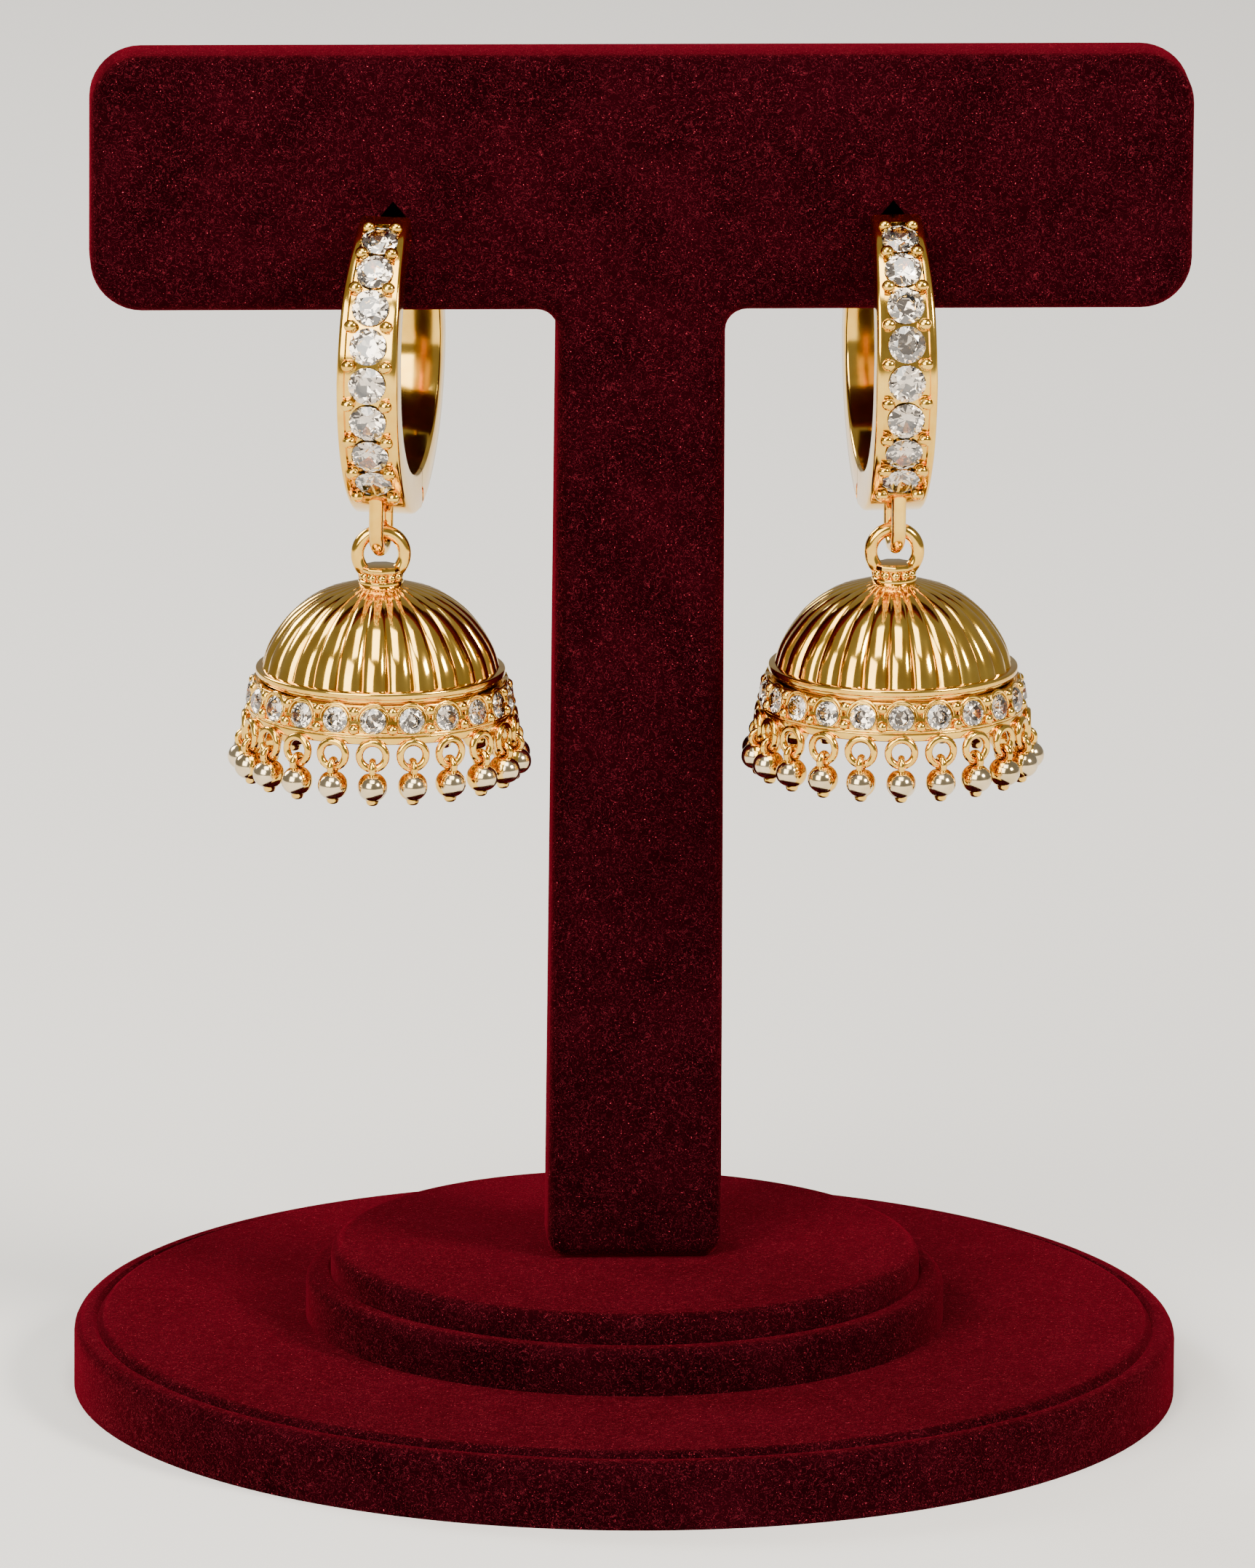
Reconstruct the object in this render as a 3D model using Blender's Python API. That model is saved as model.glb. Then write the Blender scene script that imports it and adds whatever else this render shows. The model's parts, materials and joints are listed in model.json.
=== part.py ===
"""Pair of jhumka earrings hung on a velvet T-bar display stand.

The stand rests on the floor at z = 0 with the centre of its round foot at the origin. The T-bar runs along
X and its front faces -Y. Each earring is a hinged hoop that grips the bar, with a fluted bell hanging from
a soldered loop, a stone-set band under the bell and a fringe of bead drops round the band.
"""
import math

import bmesh
import bpy
from mathutils import Matrix, Vector

MM = 0.001

# Clearances
SEAT_GAP = 0.3 * MM             # between a piece and what it rests on or hangs from
HOLE_CLEARANCE = 0.3 * MM       # round the ear post where it passes through a hole

# Foot of the stand
BASE_RADIUS = 38.0 * MM
BASE_HEIGHT = 5.0 * MM
BASE_RIM = 1.0 * MM             # width of the low rim outside the base's top pad
BASE_PAD_RISE = 0.35 * MM
BASE_EDGE_SHARE = 0.8           # rounding of the base's rim, as a share of the rim's width
PLINTH_RADIUS = 22.0 * MM
PLINTH_LEDGE_HEIGHT = 3.2 * MM
PLINTH_PAD_RADIUS = 20.3 * MM
PLINTH_PAD_RISE = 2.2 * MM
FOOT_EDGE = 0.8 * MM            # rounding of the velvet over the foot's edges
FOOT_SEGMENTS = 32

# T-board, bar and tapered post in one
BAR_LENGTH = 75.0 * MM
BAR_HEIGHT = 17.2 * MM
BAR_CORNER = 3.5 * MM
BOARD_HEIGHT = 83.7 * MM        # from the plinth's pad to the top of the bar
BOARD_THICKNESS = 6.0 * MM
BOARD_SET_FORWARD = 2.2 * MM
BOARD_SET_RIGHT = 0.4 * MM
BOARD_EDGE = 1.2 * MM
POST_TOP_WIDTH = 11.4 * MM
POST_FOOT_WIDTH = 12.0 * MM
POST_FOOT_CORNER = 1.4 * MM
INNER_FILLET = 1.4 * MM

# Hoop
HOOP_SPACING = 34.0 * MM        # between the two hoops' centres
HOOP_DEPTH_RADIUS = 9.6 * MM
HOOP_HEIGHT_RADIUS = 10.6 * MM
HOOP_SIDE_WALL = 1.9 * MM
HOOP_TOP_WALL = 1.85 * MM
HOOP_FOOT_WALL = 2.8 * MM
HOOP_WIDTH = 4.2 * MM
HOOP_EDGE = 0.3 * MM
HOOP_CENTRE_DROP = 3.9 * MM     # hoop's centre below the bar's lower edge
HOOP_TOP_REACH = 2.35 * MM      # how far the front half's top end lies before the hoop's centre
ARC_STEPS = 14
LENGTH_STEPS = 120              # steps in which an arc's length is added up
SEARCH_STEPS = 40               # halvings in a search for an angle or a distance
SEARCH_REACH_DEG = 120.0        # how far round from straight ahead an angle is searched for

# Hinge at the foot of the hoop
BARREL_RADIUS = 0.7 * MM
BARREL_SET_BACK = 0.8 * MM      # hinge axis behind the hoop's centre
HINGE_GAP = 0.3 * MM
HINGE_LIP_DEG = 20.0            # how far the back arm's lip reaches round under the barrel
BARREL_STEPS = 6

# Ear post
EAR_POST_RADIUS = 0.4 * MM
EAR_POST_CATCH = 0.7 * MM       # length of the ear post inside the back arm
EAR_POST_SIDES = 8
POST_FRONT_SHARE = 0.35         # height of the post in the front half's end, from its inner face
POST_BACK_SHARE = 0.37          # height of the post in the back arm's end

# Hoop's stones
STONES_PER_HOOP = 8
STONE_RADIUS = 1.25 * MM
STONE_PITCH = 2.72 * MM         # along the hoop's outer face
FIRST_STONE_DEG = 60.5          # top stone's place round the hoop, above straight ahead
STONE_RISE = 0.15 * MM          # table above the hoop's outer face
CROWN_HEIGHT = 0.36 * MM
GIRDLE_HEIGHT = 0.1 * MM
PAVILION_HEIGHT = 0.7 * MM
TABLE_SHARE = 0.58
STONE_SIDES = 8
CHANNEL_RAIL = 0.3 * MM         # gold rim left on each side of the stones
CHANNEL_END = 0.45 * MM         # from the first and the last stone's rim to the channel's ends
CLEAR_OF_WALL = -1.0            # wall share of a tool's face that lies well outside the hoop

# Soldered loop under the hoop and hanging ring on the bell
WIRE_RADIUS = 0.46 * MM
LOOP_RADIUS = 1.4 * MM          # to the wire's centre
LOOP_CLEARANCE = 0.1125 * MM    # between the loop's front leg and the end of the stones' channel
LOOP_DROP = 1.9 * MM            # wire's centre below the hoop's lowest point
LOOP_TURN_DEG = 10.0
LOOP_STEPS = 7
RING_RADIUS = 1.6 * MM          # to the wire's centre
RING_SEGMENTS = 12
WIRE_SIDES = 6

# Bell dome
DOME_RADIUS = 8.1 * MM
DOME_HEIGHT = 5.6 * MM
DOME_WALL = 0.6 * MM
DOME_ROOF_WALL = 0.9 * MM
FLUTE_COUNT = 27
FLUTE_DEPTH = 0.28 * MM
FLANGE_RADIUS = 8.84 * MM
FLANGE_HEIGHT = 0.55 * MM
COLLAR_RADIUS = 1.48 * MM
COLLAR_HEIGHT = 1.5 * MM
COLLAR_SINK = 0.35 * MM         # collar's foot below the dome's roof
RING_SINK = 0.55 * MM           # ring's wire centre below the collar's top
COLLAR_SIDES = 10

# Stone band under the flange
DROP_COUNT = 21                 # stones on the band, and drops of the fringe
BAND_TOP_RADIUS = 8.75 * MM
BAND_FOOT_RADIUS = 9.05 * MM
BAND_WALL = 0.9 * MM
BAND_HEIGHT = 2.05 * MM
BAND_STONE_RADIUS = 0.9 * MM
BAND_STONE_RISE = 0.28 * MM     # table above the band's face
BAND_GIRDLE_SINK = 0.08 * MM    # widest part of the stone below the band's face
BAND_STONE_BACK = 0.3 * MM      # back of the stone below the band's face

# Bead fringe under the band
GALLERY_WIRE = 0.6 * MM         # side of the square wire that the rings are soldered to
FRINGE_RADIUS = 9.2 * MM
FRINGE_RING_RADIUS = 0.9 * MM   # to the wire's centre
FRINGE_WIRE_RADIUS = 0.25 * MM
FRINGE_RING_SEGMENTS = 10
FRINGE_WIRE_SIDES = 5
BEAD_RADIUS = 1.02 * MM
BEAD_SIDES = 10
BEAD_DROP = 2.1 * MM            # bead's centre below its ring's centre
NECK_RADIUS = 0.32 * MM
NECK_SIDES = 5
NECK_FOOT_SHARE = 0.85          # neck's foot above the bead's centre, as a share of the bead's radius
NECK_TOP_DROP = 0.3 * MM        # top of the drop's eye below its ring's centre
TIP_DROP = 1.15 * MM            # tip of the drop below the bead's centre

# Shares of the dome's height and radius, from the flange up to the collar
DOME_SECTIONS = (
    # height share, radius share
    (0.00, 1.000),
    (0.26, 0.910),
    (0.54, 0.762),
    (0.82, 0.495),
    (1.00, 0.140),
)

# Shares of the height and radius of the dome's plain inside
DOME_INSIDE = (
    # height share, radius share
    (0.00, 1.000),
    (0.40, 0.860),
    (0.76, 0.590),
    (1.00, 0.180),
)

# Shares of a drop's bead, from its neck down to its tip
BEAD_SECTIONS = (
    # height share of the bead's radius, radius share
    (0.38, 0.980),
    (-0.38, 0.980),
)

# Shares of the hoop's width at heights round the hoop
HOOP_WIDTHS = (
    # height share from the hoop's centre, width share
    (-1.00, 0.950),
    (-0.50, 0.990),
    (0.00, 1.000),
    (0.50, 0.950),
    (1.00, 0.800),
)

# Each earring of the pair: the side of the bar it hangs on and how far it has turned there
EARRINGS = (
    # name, side, turn in degrees
    ("left", -1.0, -12.5),
    ("right", 1.0, 3.5),
)

# Finishes
VELVET = ("velvet", (0.11, 0.004, 0.011), 0.95, 0.0)
GOLD = ("polished_gold", (0.83, 0.52, 0.16), 0.18, 1.0)
STONE = ("clear_stone", (0.86, 0.86, 0.88), 0.05, 0.0)
BEAD = ("champagne_bead", (0.72, 0.62, 0.47), 0.2, 1.0)

# Heights and places that follow from the sizes above
PLINTH_FOOT_Z = BASE_HEIGHT + SEAT_GAP
PLINTH_TOP_Z = PLINTH_FOOT_Z + PLINTH_LEDGE_HEIGHT + PLINTH_PAD_RISE
BOARD_FOOT_Z = PLINTH_TOP_Z + SEAT_GAP
BOARD_TOP_Z = PLINTH_TOP_Z + BOARD_HEIGHT
BAR_FOOT_Z = BOARD_TOP_Z - BAR_HEIGHT
BOARD_FRONT_Y = -BOARD_SET_FORWARD - BOARD_THICKNESS / 2
HOOP_CENTRE_Z = BAR_FOOT_Z - HOOP_CENTRE_DROP
STONE_DEPTH = CROWN_HEIGHT + GIRDLE_HEIGHT + PAVILION_HEIGHT - STONE_RISE
LOOP_FOOT_Z = -HOOP_HEIGHT_RADIUS - LOOP_DROP
BELL_AXIS_Z = LOOP_FOOT_Z + 2 * WIRE_RADIUS + SEAT_GAP
RING_FOOT_Z = -2 * RING_RADIUS
COLLAR_TOP_Z = RING_FOOT_Z + RING_SINK
DOME_TOP_Z = COLLAR_TOP_Z - COLLAR_HEIGHT + COLLAR_SINK
DOME_FOOT_Z = DOME_TOP_Z - DOME_HEIGHT
FLANGE_FOOT_Z = DOME_FOOT_Z - FLANGE_HEIGHT
BAND_TOP_Z = FLANGE_FOOT_Z - SEAT_GAP
BAND_FOOT_Z = BAND_TOP_Z - BAND_HEIGHT
GALLERY_Z = BAND_FOOT_Z - SEAT_GAP - GALLERY_WIRE / 2
FRINGE_RING_Z = GALLERY_Z - FRINGE_RING_RADIUS


def clear_scene():
    """Remove every object of the open scene."""
    for item in list(bpy.data.objects):
        bpy.data.objects.remove(item, do_unlink=True)


def material(finish):
    """Return the material of a finish, made on first use."""
    name, colour, roughness, metallic = finish
    found = bpy.data.materials.get(name)
    if found:
        return found
    made = bpy.data.materials.new(name)
    made.use_nodes = True
    shader = made.node_tree.nodes["Principled BSDF"]
    shader.inputs["Base Color"].default_value = (*colour, 1.0)
    shader.inputs["Roughness"].default_value = roughness
    shader.inputs["Metallic"].default_value = metallic
    return made


def make_object(name, bm, finish, parent=None, place=None, smooth_deg=40.0):
    """Turn a bmesh into a named object with outward faces and a limit on its smooth shading."""
    bmesh.ops.recalc_face_normals(bm, faces=bm.faces)
    mesh = bpy.data.meshes.new(name)
    bm.to_mesh(mesh)
    bm.free()
    mesh.materials.append(material(finish))
    mesh.shade_smooth()
    mesh.set_sharp_from_angle(angle=math.radians(smooth_deg))
    thing = bpy.data.objects.new(name, mesh)
    bpy.context.scene.collection.objects.link(thing)
    thing.parent = parent
    if place is not None:
        thing.matrix_basis = place
    return thing


def make_empty(name, place, parent=None):
    """Add an empty that carries a moving or a turned group."""
    thing = bpy.data.objects.new(name, None)
    bpy.context.scene.collection.objects.link(thing)
    thing.empty_display_size = 2 * MM
    thing.parent = parent
    thing.matrix_basis = place
    return thing


def apply_tool(thing, tool, operation):
    """Cut a hidden tool from an object, or fuse it on."""
    tool.hide_render = True
    tool.display_type = "WIRE"
    step = thing.modifiers.new(tool.name, "BOOLEAN")
    step.operation = operation
    step.solver = "EXACT"
    step.object = tool


def row_of(bm, points):
    """Add one closed row of points."""
    return [bm.verts.new(point) for point in points]


def bridge(bm, lower, upper):
    """Join two closed rows with the same number of points."""
    count = len(lower)
    for index in range(count):
        after = (index + 1) % count
        bm.faces.new((lower[index], lower[after], upper[after], upper[index]))


def stitch(bm, fine, coarse):
    """Join a closed row to one with a whole fraction of its points."""
    ratio = len(fine) // len(coarse)
    count = len(fine)
    for index, corner in enumerate(coarse):
        start = index * ratio
        for step in range(start, start + ratio):
            bm.faces.new((fine[step % count], fine[(step + 1) % count], corner))
        following = coarse[(index + 1) % len(coarse)]
        bm.faces.new((fine[(start + ratio) % count], following, corner))


def circle(radius, height, count, phase=0.0):
    """Points of a level circle."""
    step = 2 * math.pi / count
    return [
        Vector((radius * math.cos(phase + step * k), radius * math.sin(phase + step * k), height))
        for k in range(count)
    ]


def turned(bm, profile, count):
    """Turn an open profile of (radius, height) rows into a closed solid with flat ends."""
    rows = [row_of(bm, circle(radius, height, count)) for radius, height in profile]
    for lower, upper in zip(rows, rows[1:]):
        bridge(bm, lower, upper)
    bm.faces.new(rows[0])
    bm.faces.new(rows[-1])


def quarter_round(radius, height, size, steps=2):
    """Profile rows of a rounded upper edge, from the side wall to the top."""
    rows = []
    for step in range(steps + 1):
        angle = math.pi / 2 * step / steps
        rows.append((radius - size * (1 - math.cos(angle)), height - size * (1 - math.sin(angle))))
    return rows


def swept_wire(bm, path, normal, radius, sides, closed):
    """Sweep a round wire along a path that lies in the plane with the given normal."""
    rows = []
    count = len(path)
    for index, point in enumerate(path):
        before = path[index - 1] if closed or index > 0 else point
        after = path[(index + 1) % count] if closed or index < count - 1 else point
        across = normal.cross((after - before).normalized())
        ring = []
        for side in range(sides):
            angle = 2 * math.pi * (side + 0.5) / sides
            ring.append(point + across * (radius * math.cos(angle)) + normal * (radius * math.sin(angle)))
        rows.append(row_of(bm, ring))
    for index in range(count - 1):
        bridge(bm, rows[index], rows[index + 1])
    if closed:
        bridge(bm, rows[-1], rows[0])
    else:
        bm.faces.new(rows[0])
        bm.faces.new(rows[-1])


def rod(bm, start, end, radius, sides):
    """Straight round rod between two points."""
    along = (end - start).normalized()
    normal = along.orthogonal().normalized()
    swept_wire(bm, [start, end], normal, radius, sides, closed=False)


def build_foot():
    """Lower and upper disc of the stand's foot."""
    base = bmesh.new()
    rim_z = BASE_HEIGHT - BASE_PAD_RISE
    pad_radius = BASE_RADIUS - BASE_RIM
    profile = [(BASE_RADIUS, 0.0)]
    profile += quarter_round(BASE_RADIUS, rim_z, BASE_RIM * BASE_EDGE_SHARE)
    profile += [(pad_radius, rim_z), (pad_radius - BASE_PAD_RISE, BASE_HEIGHT)]
    turned(base, profile, FOOT_SEGMENTS)
    make_object("stand_base", base, VELVET)

    plinth = bmesh.new()
    ledge_z = PLINTH_FOOT_Z + PLINTH_LEDGE_HEIGHT
    profile = [(PLINTH_RADIUS, PLINTH_FOOT_Z)]
    profile += quarter_round(PLINTH_RADIUS, ledge_z, FOOT_EDGE)
    profile += [(PLINTH_PAD_RADIUS, ledge_z)]
    profile += quarter_round(PLINTH_PAD_RADIUS, PLINTH_TOP_Z, FOOT_EDGE)
    turned(plinth, profile, FOOT_SEGMENTS)
    make_object("stand_plinth", plinth, VELVET)


def rounded_outline(corners, inset):
    """Points of a closed outline whose corners are (x, z, radius, steps), moved inwards by the inset.

    The corners run anticlockwise. The inset makes outer corners sharper and inner ones rounder.
    """
    points = []
    count = len(corners)
    for index in range(count):
        x, z, radius, steps = corners[index]
        here = Vector((x, z))
        coming = (here - Vector(corners[index - 1][:2])).normalized()
        going = (Vector(corners[(index + 1) % count][:2]) - here).normalized()
        inward_before = Vector((-coming.y, coming.x))
        inward_after = Vector((-going.y, going.x))
        middle = (inward_before + inward_after) / (1 + inward_before.dot(inward_after))
        outer = coming.x * going.y - coming.y * going.x > 0
        side = 1.0 if outer else -1.0
        size = radius - inset * side
        centre = here + middle * (inset + side * size)
        turn = math.atan2(coming.x * going.y - coming.y * going.x, coming.dot(going))
        spoke = inward_before * (-side * size)
        for step in range(steps + 1):
            points.append(centre + Matrix.Rotation(turn * step / steps, 2) @ spoke)
    return points


def build_board():
    """T-shaped board with rounded edges."""
    half_bar = BAR_LENGTH / 2
    half_foot = POST_FOOT_WIDTH / 2
    half_top = POST_TOP_WIDTH / 2
    corners = (
        (-half_foot, BOARD_FOOT_Z, POST_FOOT_CORNER, 1),
        (half_foot, BOARD_FOOT_Z, POST_FOOT_CORNER, 1),
        (half_top, BAR_FOOT_Z, INNER_FILLET, 2),
        (half_bar, BAR_FOOT_Z, BAR_CORNER, 3),
        (half_bar, BOARD_TOP_Z, BAR_CORNER, 3),
        (-half_bar, BOARD_TOP_Z, BAR_CORNER, 3),
        (-half_bar, BAR_FOOT_Z, BAR_CORNER, 3),
        (-half_top, BAR_FOOT_Z, INNER_FILLET, 2),
    )
    chamfer = BOARD_EDGE * (1 - math.sqrt(0.5))
    layers = (
        # depth behind the front face, inset of the outline
        (0.0, BOARD_EDGE),
        (chamfer, chamfer),
        (BOARD_EDGE, 0.0),
        (BOARD_THICKNESS - BOARD_EDGE, 0.0),
        (BOARD_THICKNESS - chamfer, chamfer),
        (BOARD_THICKNESS, BOARD_EDGE),
    )
    bm = bmesh.new()
    rows = []
    for depth, inset in layers:
        outline = rounded_outline(corners, inset)
        rows.append(row_of(bm, [
            Vector((BOARD_SET_RIGHT + point.x, BOARD_FRONT_Y + depth, point.y)) for point in outline
        ]))
    for near, far in zip(rows, rows[1:]):
        bridge(bm, near, far)
    bm.faces.new(rows[0])
    bm.faces.new(rows[-1])
    return make_object("stand_t_board", bm, VELVET)


def hoop_point(degrees, wall_share):
    """Point of the hoop's section, from straight ahead round upwards, as (depth, height).

    The wall share runs from 0 on the outer face to 1 on the inner face.
    """
    angle = math.radians(degrees)
    wall = HOOP_TOP_WALL if math.sin(angle) > 0 else HOOP_FOOT_WALL
    depth_radius = HOOP_DEPTH_RADIUS - HOOP_SIDE_WALL * wall_share
    height_radius = HOOP_HEIGHT_RADIUS - wall * wall_share
    return Vector((-depth_radius * math.cos(angle), height_radius * math.sin(angle)))


def hoop_angle(depth, wall_share, upper):
    """Angle round the hoop, in degrees from straight ahead, where its face lies at a depth."""
    radius = HOOP_DEPTH_RADIUS - HOOP_SIDE_WALL * wall_share
    degrees = math.degrees(math.acos(max(-1.0, min(1.0, -depth / radius))))
    return degrees if upper else -degrees


def hoop_arc(first, last, wall_share, steps=ARC_STEPS):
    """Points along one of the hoop's faces between two angles in degrees."""
    return [hoop_point(first + (last - first) * step / steps, wall_share) for step in range(steps + 1)]


def hoop_width(height):
    """Width of the hoop at a height above its centre."""
    share = max(-1.0, min(1.0, height / HOOP_HEIGHT_RADIUS))
    for (low, low_width), (high, high_width) in zip(HOOP_WIDTHS, HOOP_WIDTHS[1:]):
        if share <= high:
            return HOOP_WIDTH * (low_width + (high_width - low_width) * (share - low) / (high - low))
    return HOOP_WIDTH * HOOP_WIDTHS[-1][1]


def extrude_section(bm, section, margin):
    """Extrude a hoop section across the hoop's width less a margin on each side, with open ends."""
    rows = []
    for side in (-1.0, 1.0):
        rows.append(row_of(bm, [
            Vector((side * (hoop_width(point.y) / 2 - margin), point.x, point.y)) for point in section
        ]))
    bridge(bm, rows[0], rows[1])
    return rows


def close_as_ladder(bm, row):
    """Close a row of points whose second half runs back along its first one with quads between them."""
    count = len(row)
    for index in range(count // 2 - 1):
        bm.faces.new((row[index], row[index + 1], row[count - 2 - index], row[count - 1 - index]))


def build_hoop_half(bm, section):
    """Closed half of the hoop over a section, with the edges of its two flat sides chamfered."""
    flat_sides = [bm.faces.new(row) for row in extrude_section(bm, section, 0.0)]
    edges = list({edge for face in flat_sides for edge in face.edges})
    bmesh.ops.bevel(bm, geom=edges, offset=HOOP_EDGE, segments=1, affect="EDGES", clamp_overlap=True)


def barrel_centre():
    """Centre of the hinge barrel in the hoop's section, flush with the hoop's lowest face."""
    foot = hoop_point(hoop_angle(BARREL_SET_BACK, 0.0, upper=False), 0.0)
    return Vector((foot.x, foot.y + BARREL_RADIUS))


def barrel_arc(radius, first, last):
    """Points round the hinge axis between two angles in degrees, from straight back upwards."""
    centre = barrel_centre()
    points = []
    for step in range(BARREL_STEPS + 1):
        angle = math.radians(first + (last - first) * step / BARREL_STEPS)
        points.append(centre + Vector((radius * math.cos(angle), radius * math.sin(angle))))
    return points


def hoop_back_reach():
    """Depth of the back arm's top end behind the hoop's centre, clear of the board at either turn."""
    turn = math.radians(max(abs(degrees) for _, _, degrees in EARRINGS))
    across = hoop_width(HOOP_HEIGHT_RADIUS) * math.sin(turn)
    return (BOARD_THICKNESS + 2 * SEAT_GAP + across) / math.cos(turn) - HOOP_TOP_REACH


def post_ends():
    """Two ends of the ear post in the hoop's section: in the front half's end and in the back arm."""
    front = -HOOP_TOP_REACH
    back = hoop_back_reach()
    places = []
    for depth, share in ((front, POST_FRONT_SHARE), (back, POST_BACK_SHARE)):
        outer = hoop_point(hoop_angle(depth, 0.0, upper=True), 0.0).y
        inner = hoop_point(hoop_angle(depth, 1.0, upper=True), 1.0).y
        places.append(Vector((0.0, depth, inner + (outer - inner) * share)))
    along = (places[1] - places[0]).normalized()
    return places[0], places[1] + along * EAR_POST_CATCH, along


def hoop_arc_length(last):
    """Length of the hoop's outer face from straight ahead up to an angle in degrees."""
    total = 0.0
    before = hoop_point(0.0, 0.0)
    for step in range(1, LENGTH_STEPS + 1):
        here = hoop_point(last * step / LENGTH_STEPS, 0.0)
        total += (here - before).length
        before = here
    return math.copysign(total, last)


def angle_at_length(length):
    """Angle in degrees at a length along the hoop's outer face, found by halving the range."""
    low = -SEARCH_REACH_DEG
    high = SEARCH_REACH_DEG
    for _ in range(SEARCH_STEPS):
        middle = (low + high) / 2
        if hoop_arc_length(middle) < length:
            low = middle
        else:
            high = middle
    return (low + high) / 2


def stone_angles():
    """Angles of the hoop's stones in degrees, from the top one down."""
    top = hoop_arc_length(FIRST_STONE_DEG)
    return [angle_at_length(top - STONE_PITCH * index) for index in range(STONES_PER_HOOP)]


def channel_ends():
    """Angles in degrees of the upper and the lower end of the stones' channel."""
    angles = stone_angles()
    reach = STONE_RADIUS + CHANNEL_END
    first = angle_at_length(hoop_arc_length(angles[0]) + reach)
    last = angle_at_length(hoop_arc_length(angles[-1]) - reach)
    return first, last


def loop_set_forward():
    """Depth of the soldered loop before the hoop's centre, just behind the stones' channel."""
    _, last = channel_ends()
    return -hoop_point(last, 0.0).x - LOOP_CLEARANCE - WIRE_RADIUS - LOOP_RADIUS


def loop_path():
    """Path of the soldered loop in its own plane: down the front, round and up the back."""
    arc_z = LOOP_FOOT_Z + LOOP_RADIUS
    path = []
    for index in range(LOOP_STEPS + 1):
        angle = math.pi + math.pi * index / LOOP_STEPS
        path.append(Vector((0.0, LOOP_RADIUS * math.cos(angle), arc_z + LOOP_RADIUS * math.sin(angle))))
    ends = []
    for side in (-1.0, 1.0):
        depth = side * LOOP_RADIUS - loop_set_forward()
        outer = hoop_point(hoop_angle(depth, 0.0, upper=False), 0.0)
        ends.append(Vector((0.0, side * LOOP_RADIUS, outer.y + WIRE_RADIUS)))
    return [ends[0]] + path + [ends[1]]


def build_hoop_front(name, seat, side):
    """Front half of the hoop, with its channel, ear post, hinge barrel and soldered loop."""
    centre = barrel_centre()
    top_outer = hoop_angle(-HOOP_TOP_REACH, 0.0, upper=True)
    top_inner = hoop_angle(-HOOP_TOP_REACH, 1.0, upper=True)
    foot_outer = hoop_angle(centre.x, 0.0, upper=False)
    foot_inner = hoop_angle(centre.x, 1.0, upper=False)
    section = hoop_arc(top_outer, foot_outer, 0.0)[:-1]
    section += barrel_arc(BARREL_RADIUS, -90.0, 90.0)
    section += hoop_arc(foot_inner, top_inner, 1.0)
    bm = bmesh.new()
    build_hoop_half(bm, section)
    front = make_object(name + "_hoop_front", bm, GOLD, seat)

    first, last = channel_ends()
    floor_share = (STONE_DEPTH + SEAT_GAP) / HOOP_SIDE_WALL
    channel = bmesh.new()
    section = hoop_arc(first, last, CLEAR_OF_WALL) + hoop_arc(last, first, floor_share)
    for row in extrude_section(channel, section, HOOP_EDGE + CHANNEL_RAIL):
        close_as_ladder(channel, row)
    apply_tool(front, make_object(name + "_channel_tool", channel, GOLD, seat), "DIFFERENCE")

    start, end, along = post_ends()
    post = bmesh.new()
    rod(post, start - along * HOOP_TOP_WALL / 2, end, EAR_POST_RADIUS, EAR_POST_SIDES)
    apply_tool(front, make_object(name + "_post_tool", post, GOLD, seat), "UNION")

    loop = bmesh.new()
    swept_wire(loop, loop_path(), Vector((1, 0, 0)), WIRE_RADIUS, WIRE_SIDES, closed=False)
    turn = Matrix.Rotation(math.radians(side * LOOP_TURN_DEG), 4, "Z")
    place = Matrix.Translation((0.0, -loop_set_forward(), 0.0)) @ turn
    apply_tool(front, make_object(name + "_loop_tool", loop, GOLD, seat, place), "UNION")


def build_hoop_back(name, seat):
    """Back arm of the hoop, which turns on the barrel and takes the end of the ear post."""
    centre = barrel_centre()
    socket = BARREL_RADIUS + HINGE_GAP
    seam = centre.x + HINGE_GAP
    end = hoop_back_reach()
    lip = -math.radians(HINGE_LIP_DEG)
    toward = Vector((math.cos(lip), math.sin(lip)))
    low = socket
    high = HOOP_FOOT_WALL
    for _ in range(SEARCH_STEPS):
        middle = (low + high) / 2
        point = centre + toward * middle
        inside = (point.x / HOOP_DEPTH_RADIUS) ** 2 + (point.y / HOOP_HEIGHT_RADIUS) ** 2 < 1
        low, high = (middle, high) if inside else (low, middle)
    lip_depth = (centre + toward * low).x

    seam_turn = math.degrees(math.acos(HINGE_GAP / socket))
    section = barrel_arc(socket, seam_turn, -HINGE_LIP_DEG)
    lip_foot = hoop_angle(lip_depth, 0.0, upper=False) % 360
    section += hoop_arc(lip_foot, hoop_angle(end, 0.0, upper=True), 0.0)
    seam_foot = hoop_angle(seam, 1.0, upper=False) % 360
    section += hoop_arc(hoop_angle(end, 1.0, upper=True), seam_foot, 1.0)
    bm = bmesh.new()
    build_hoop_half(bm, section)
    hinge = Vector((0.0, centre.x, centre.y))
    bmesh.ops.translate(bm, verts=bm.verts, vec=-hinge)
    pivot = make_empty(name + "_hinge", Matrix.Translation(hinge), seat)
    back = make_object(name + "_hoop_back", bm, GOLD, pivot)

    _, tip, along = post_ends()
    hole = bmesh.new()
    rod(hole, tip - along * HOOP_SIDE_WALL * 2, tip + along * SEAT_GAP, EAR_POST_RADIUS + HOLE_CLEARANCE,
        EAR_POST_SIDES)
    apply_tool(back, make_object(name + "_catch_tool", hole, GOLD, seat), "DIFFERENCE")


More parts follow.
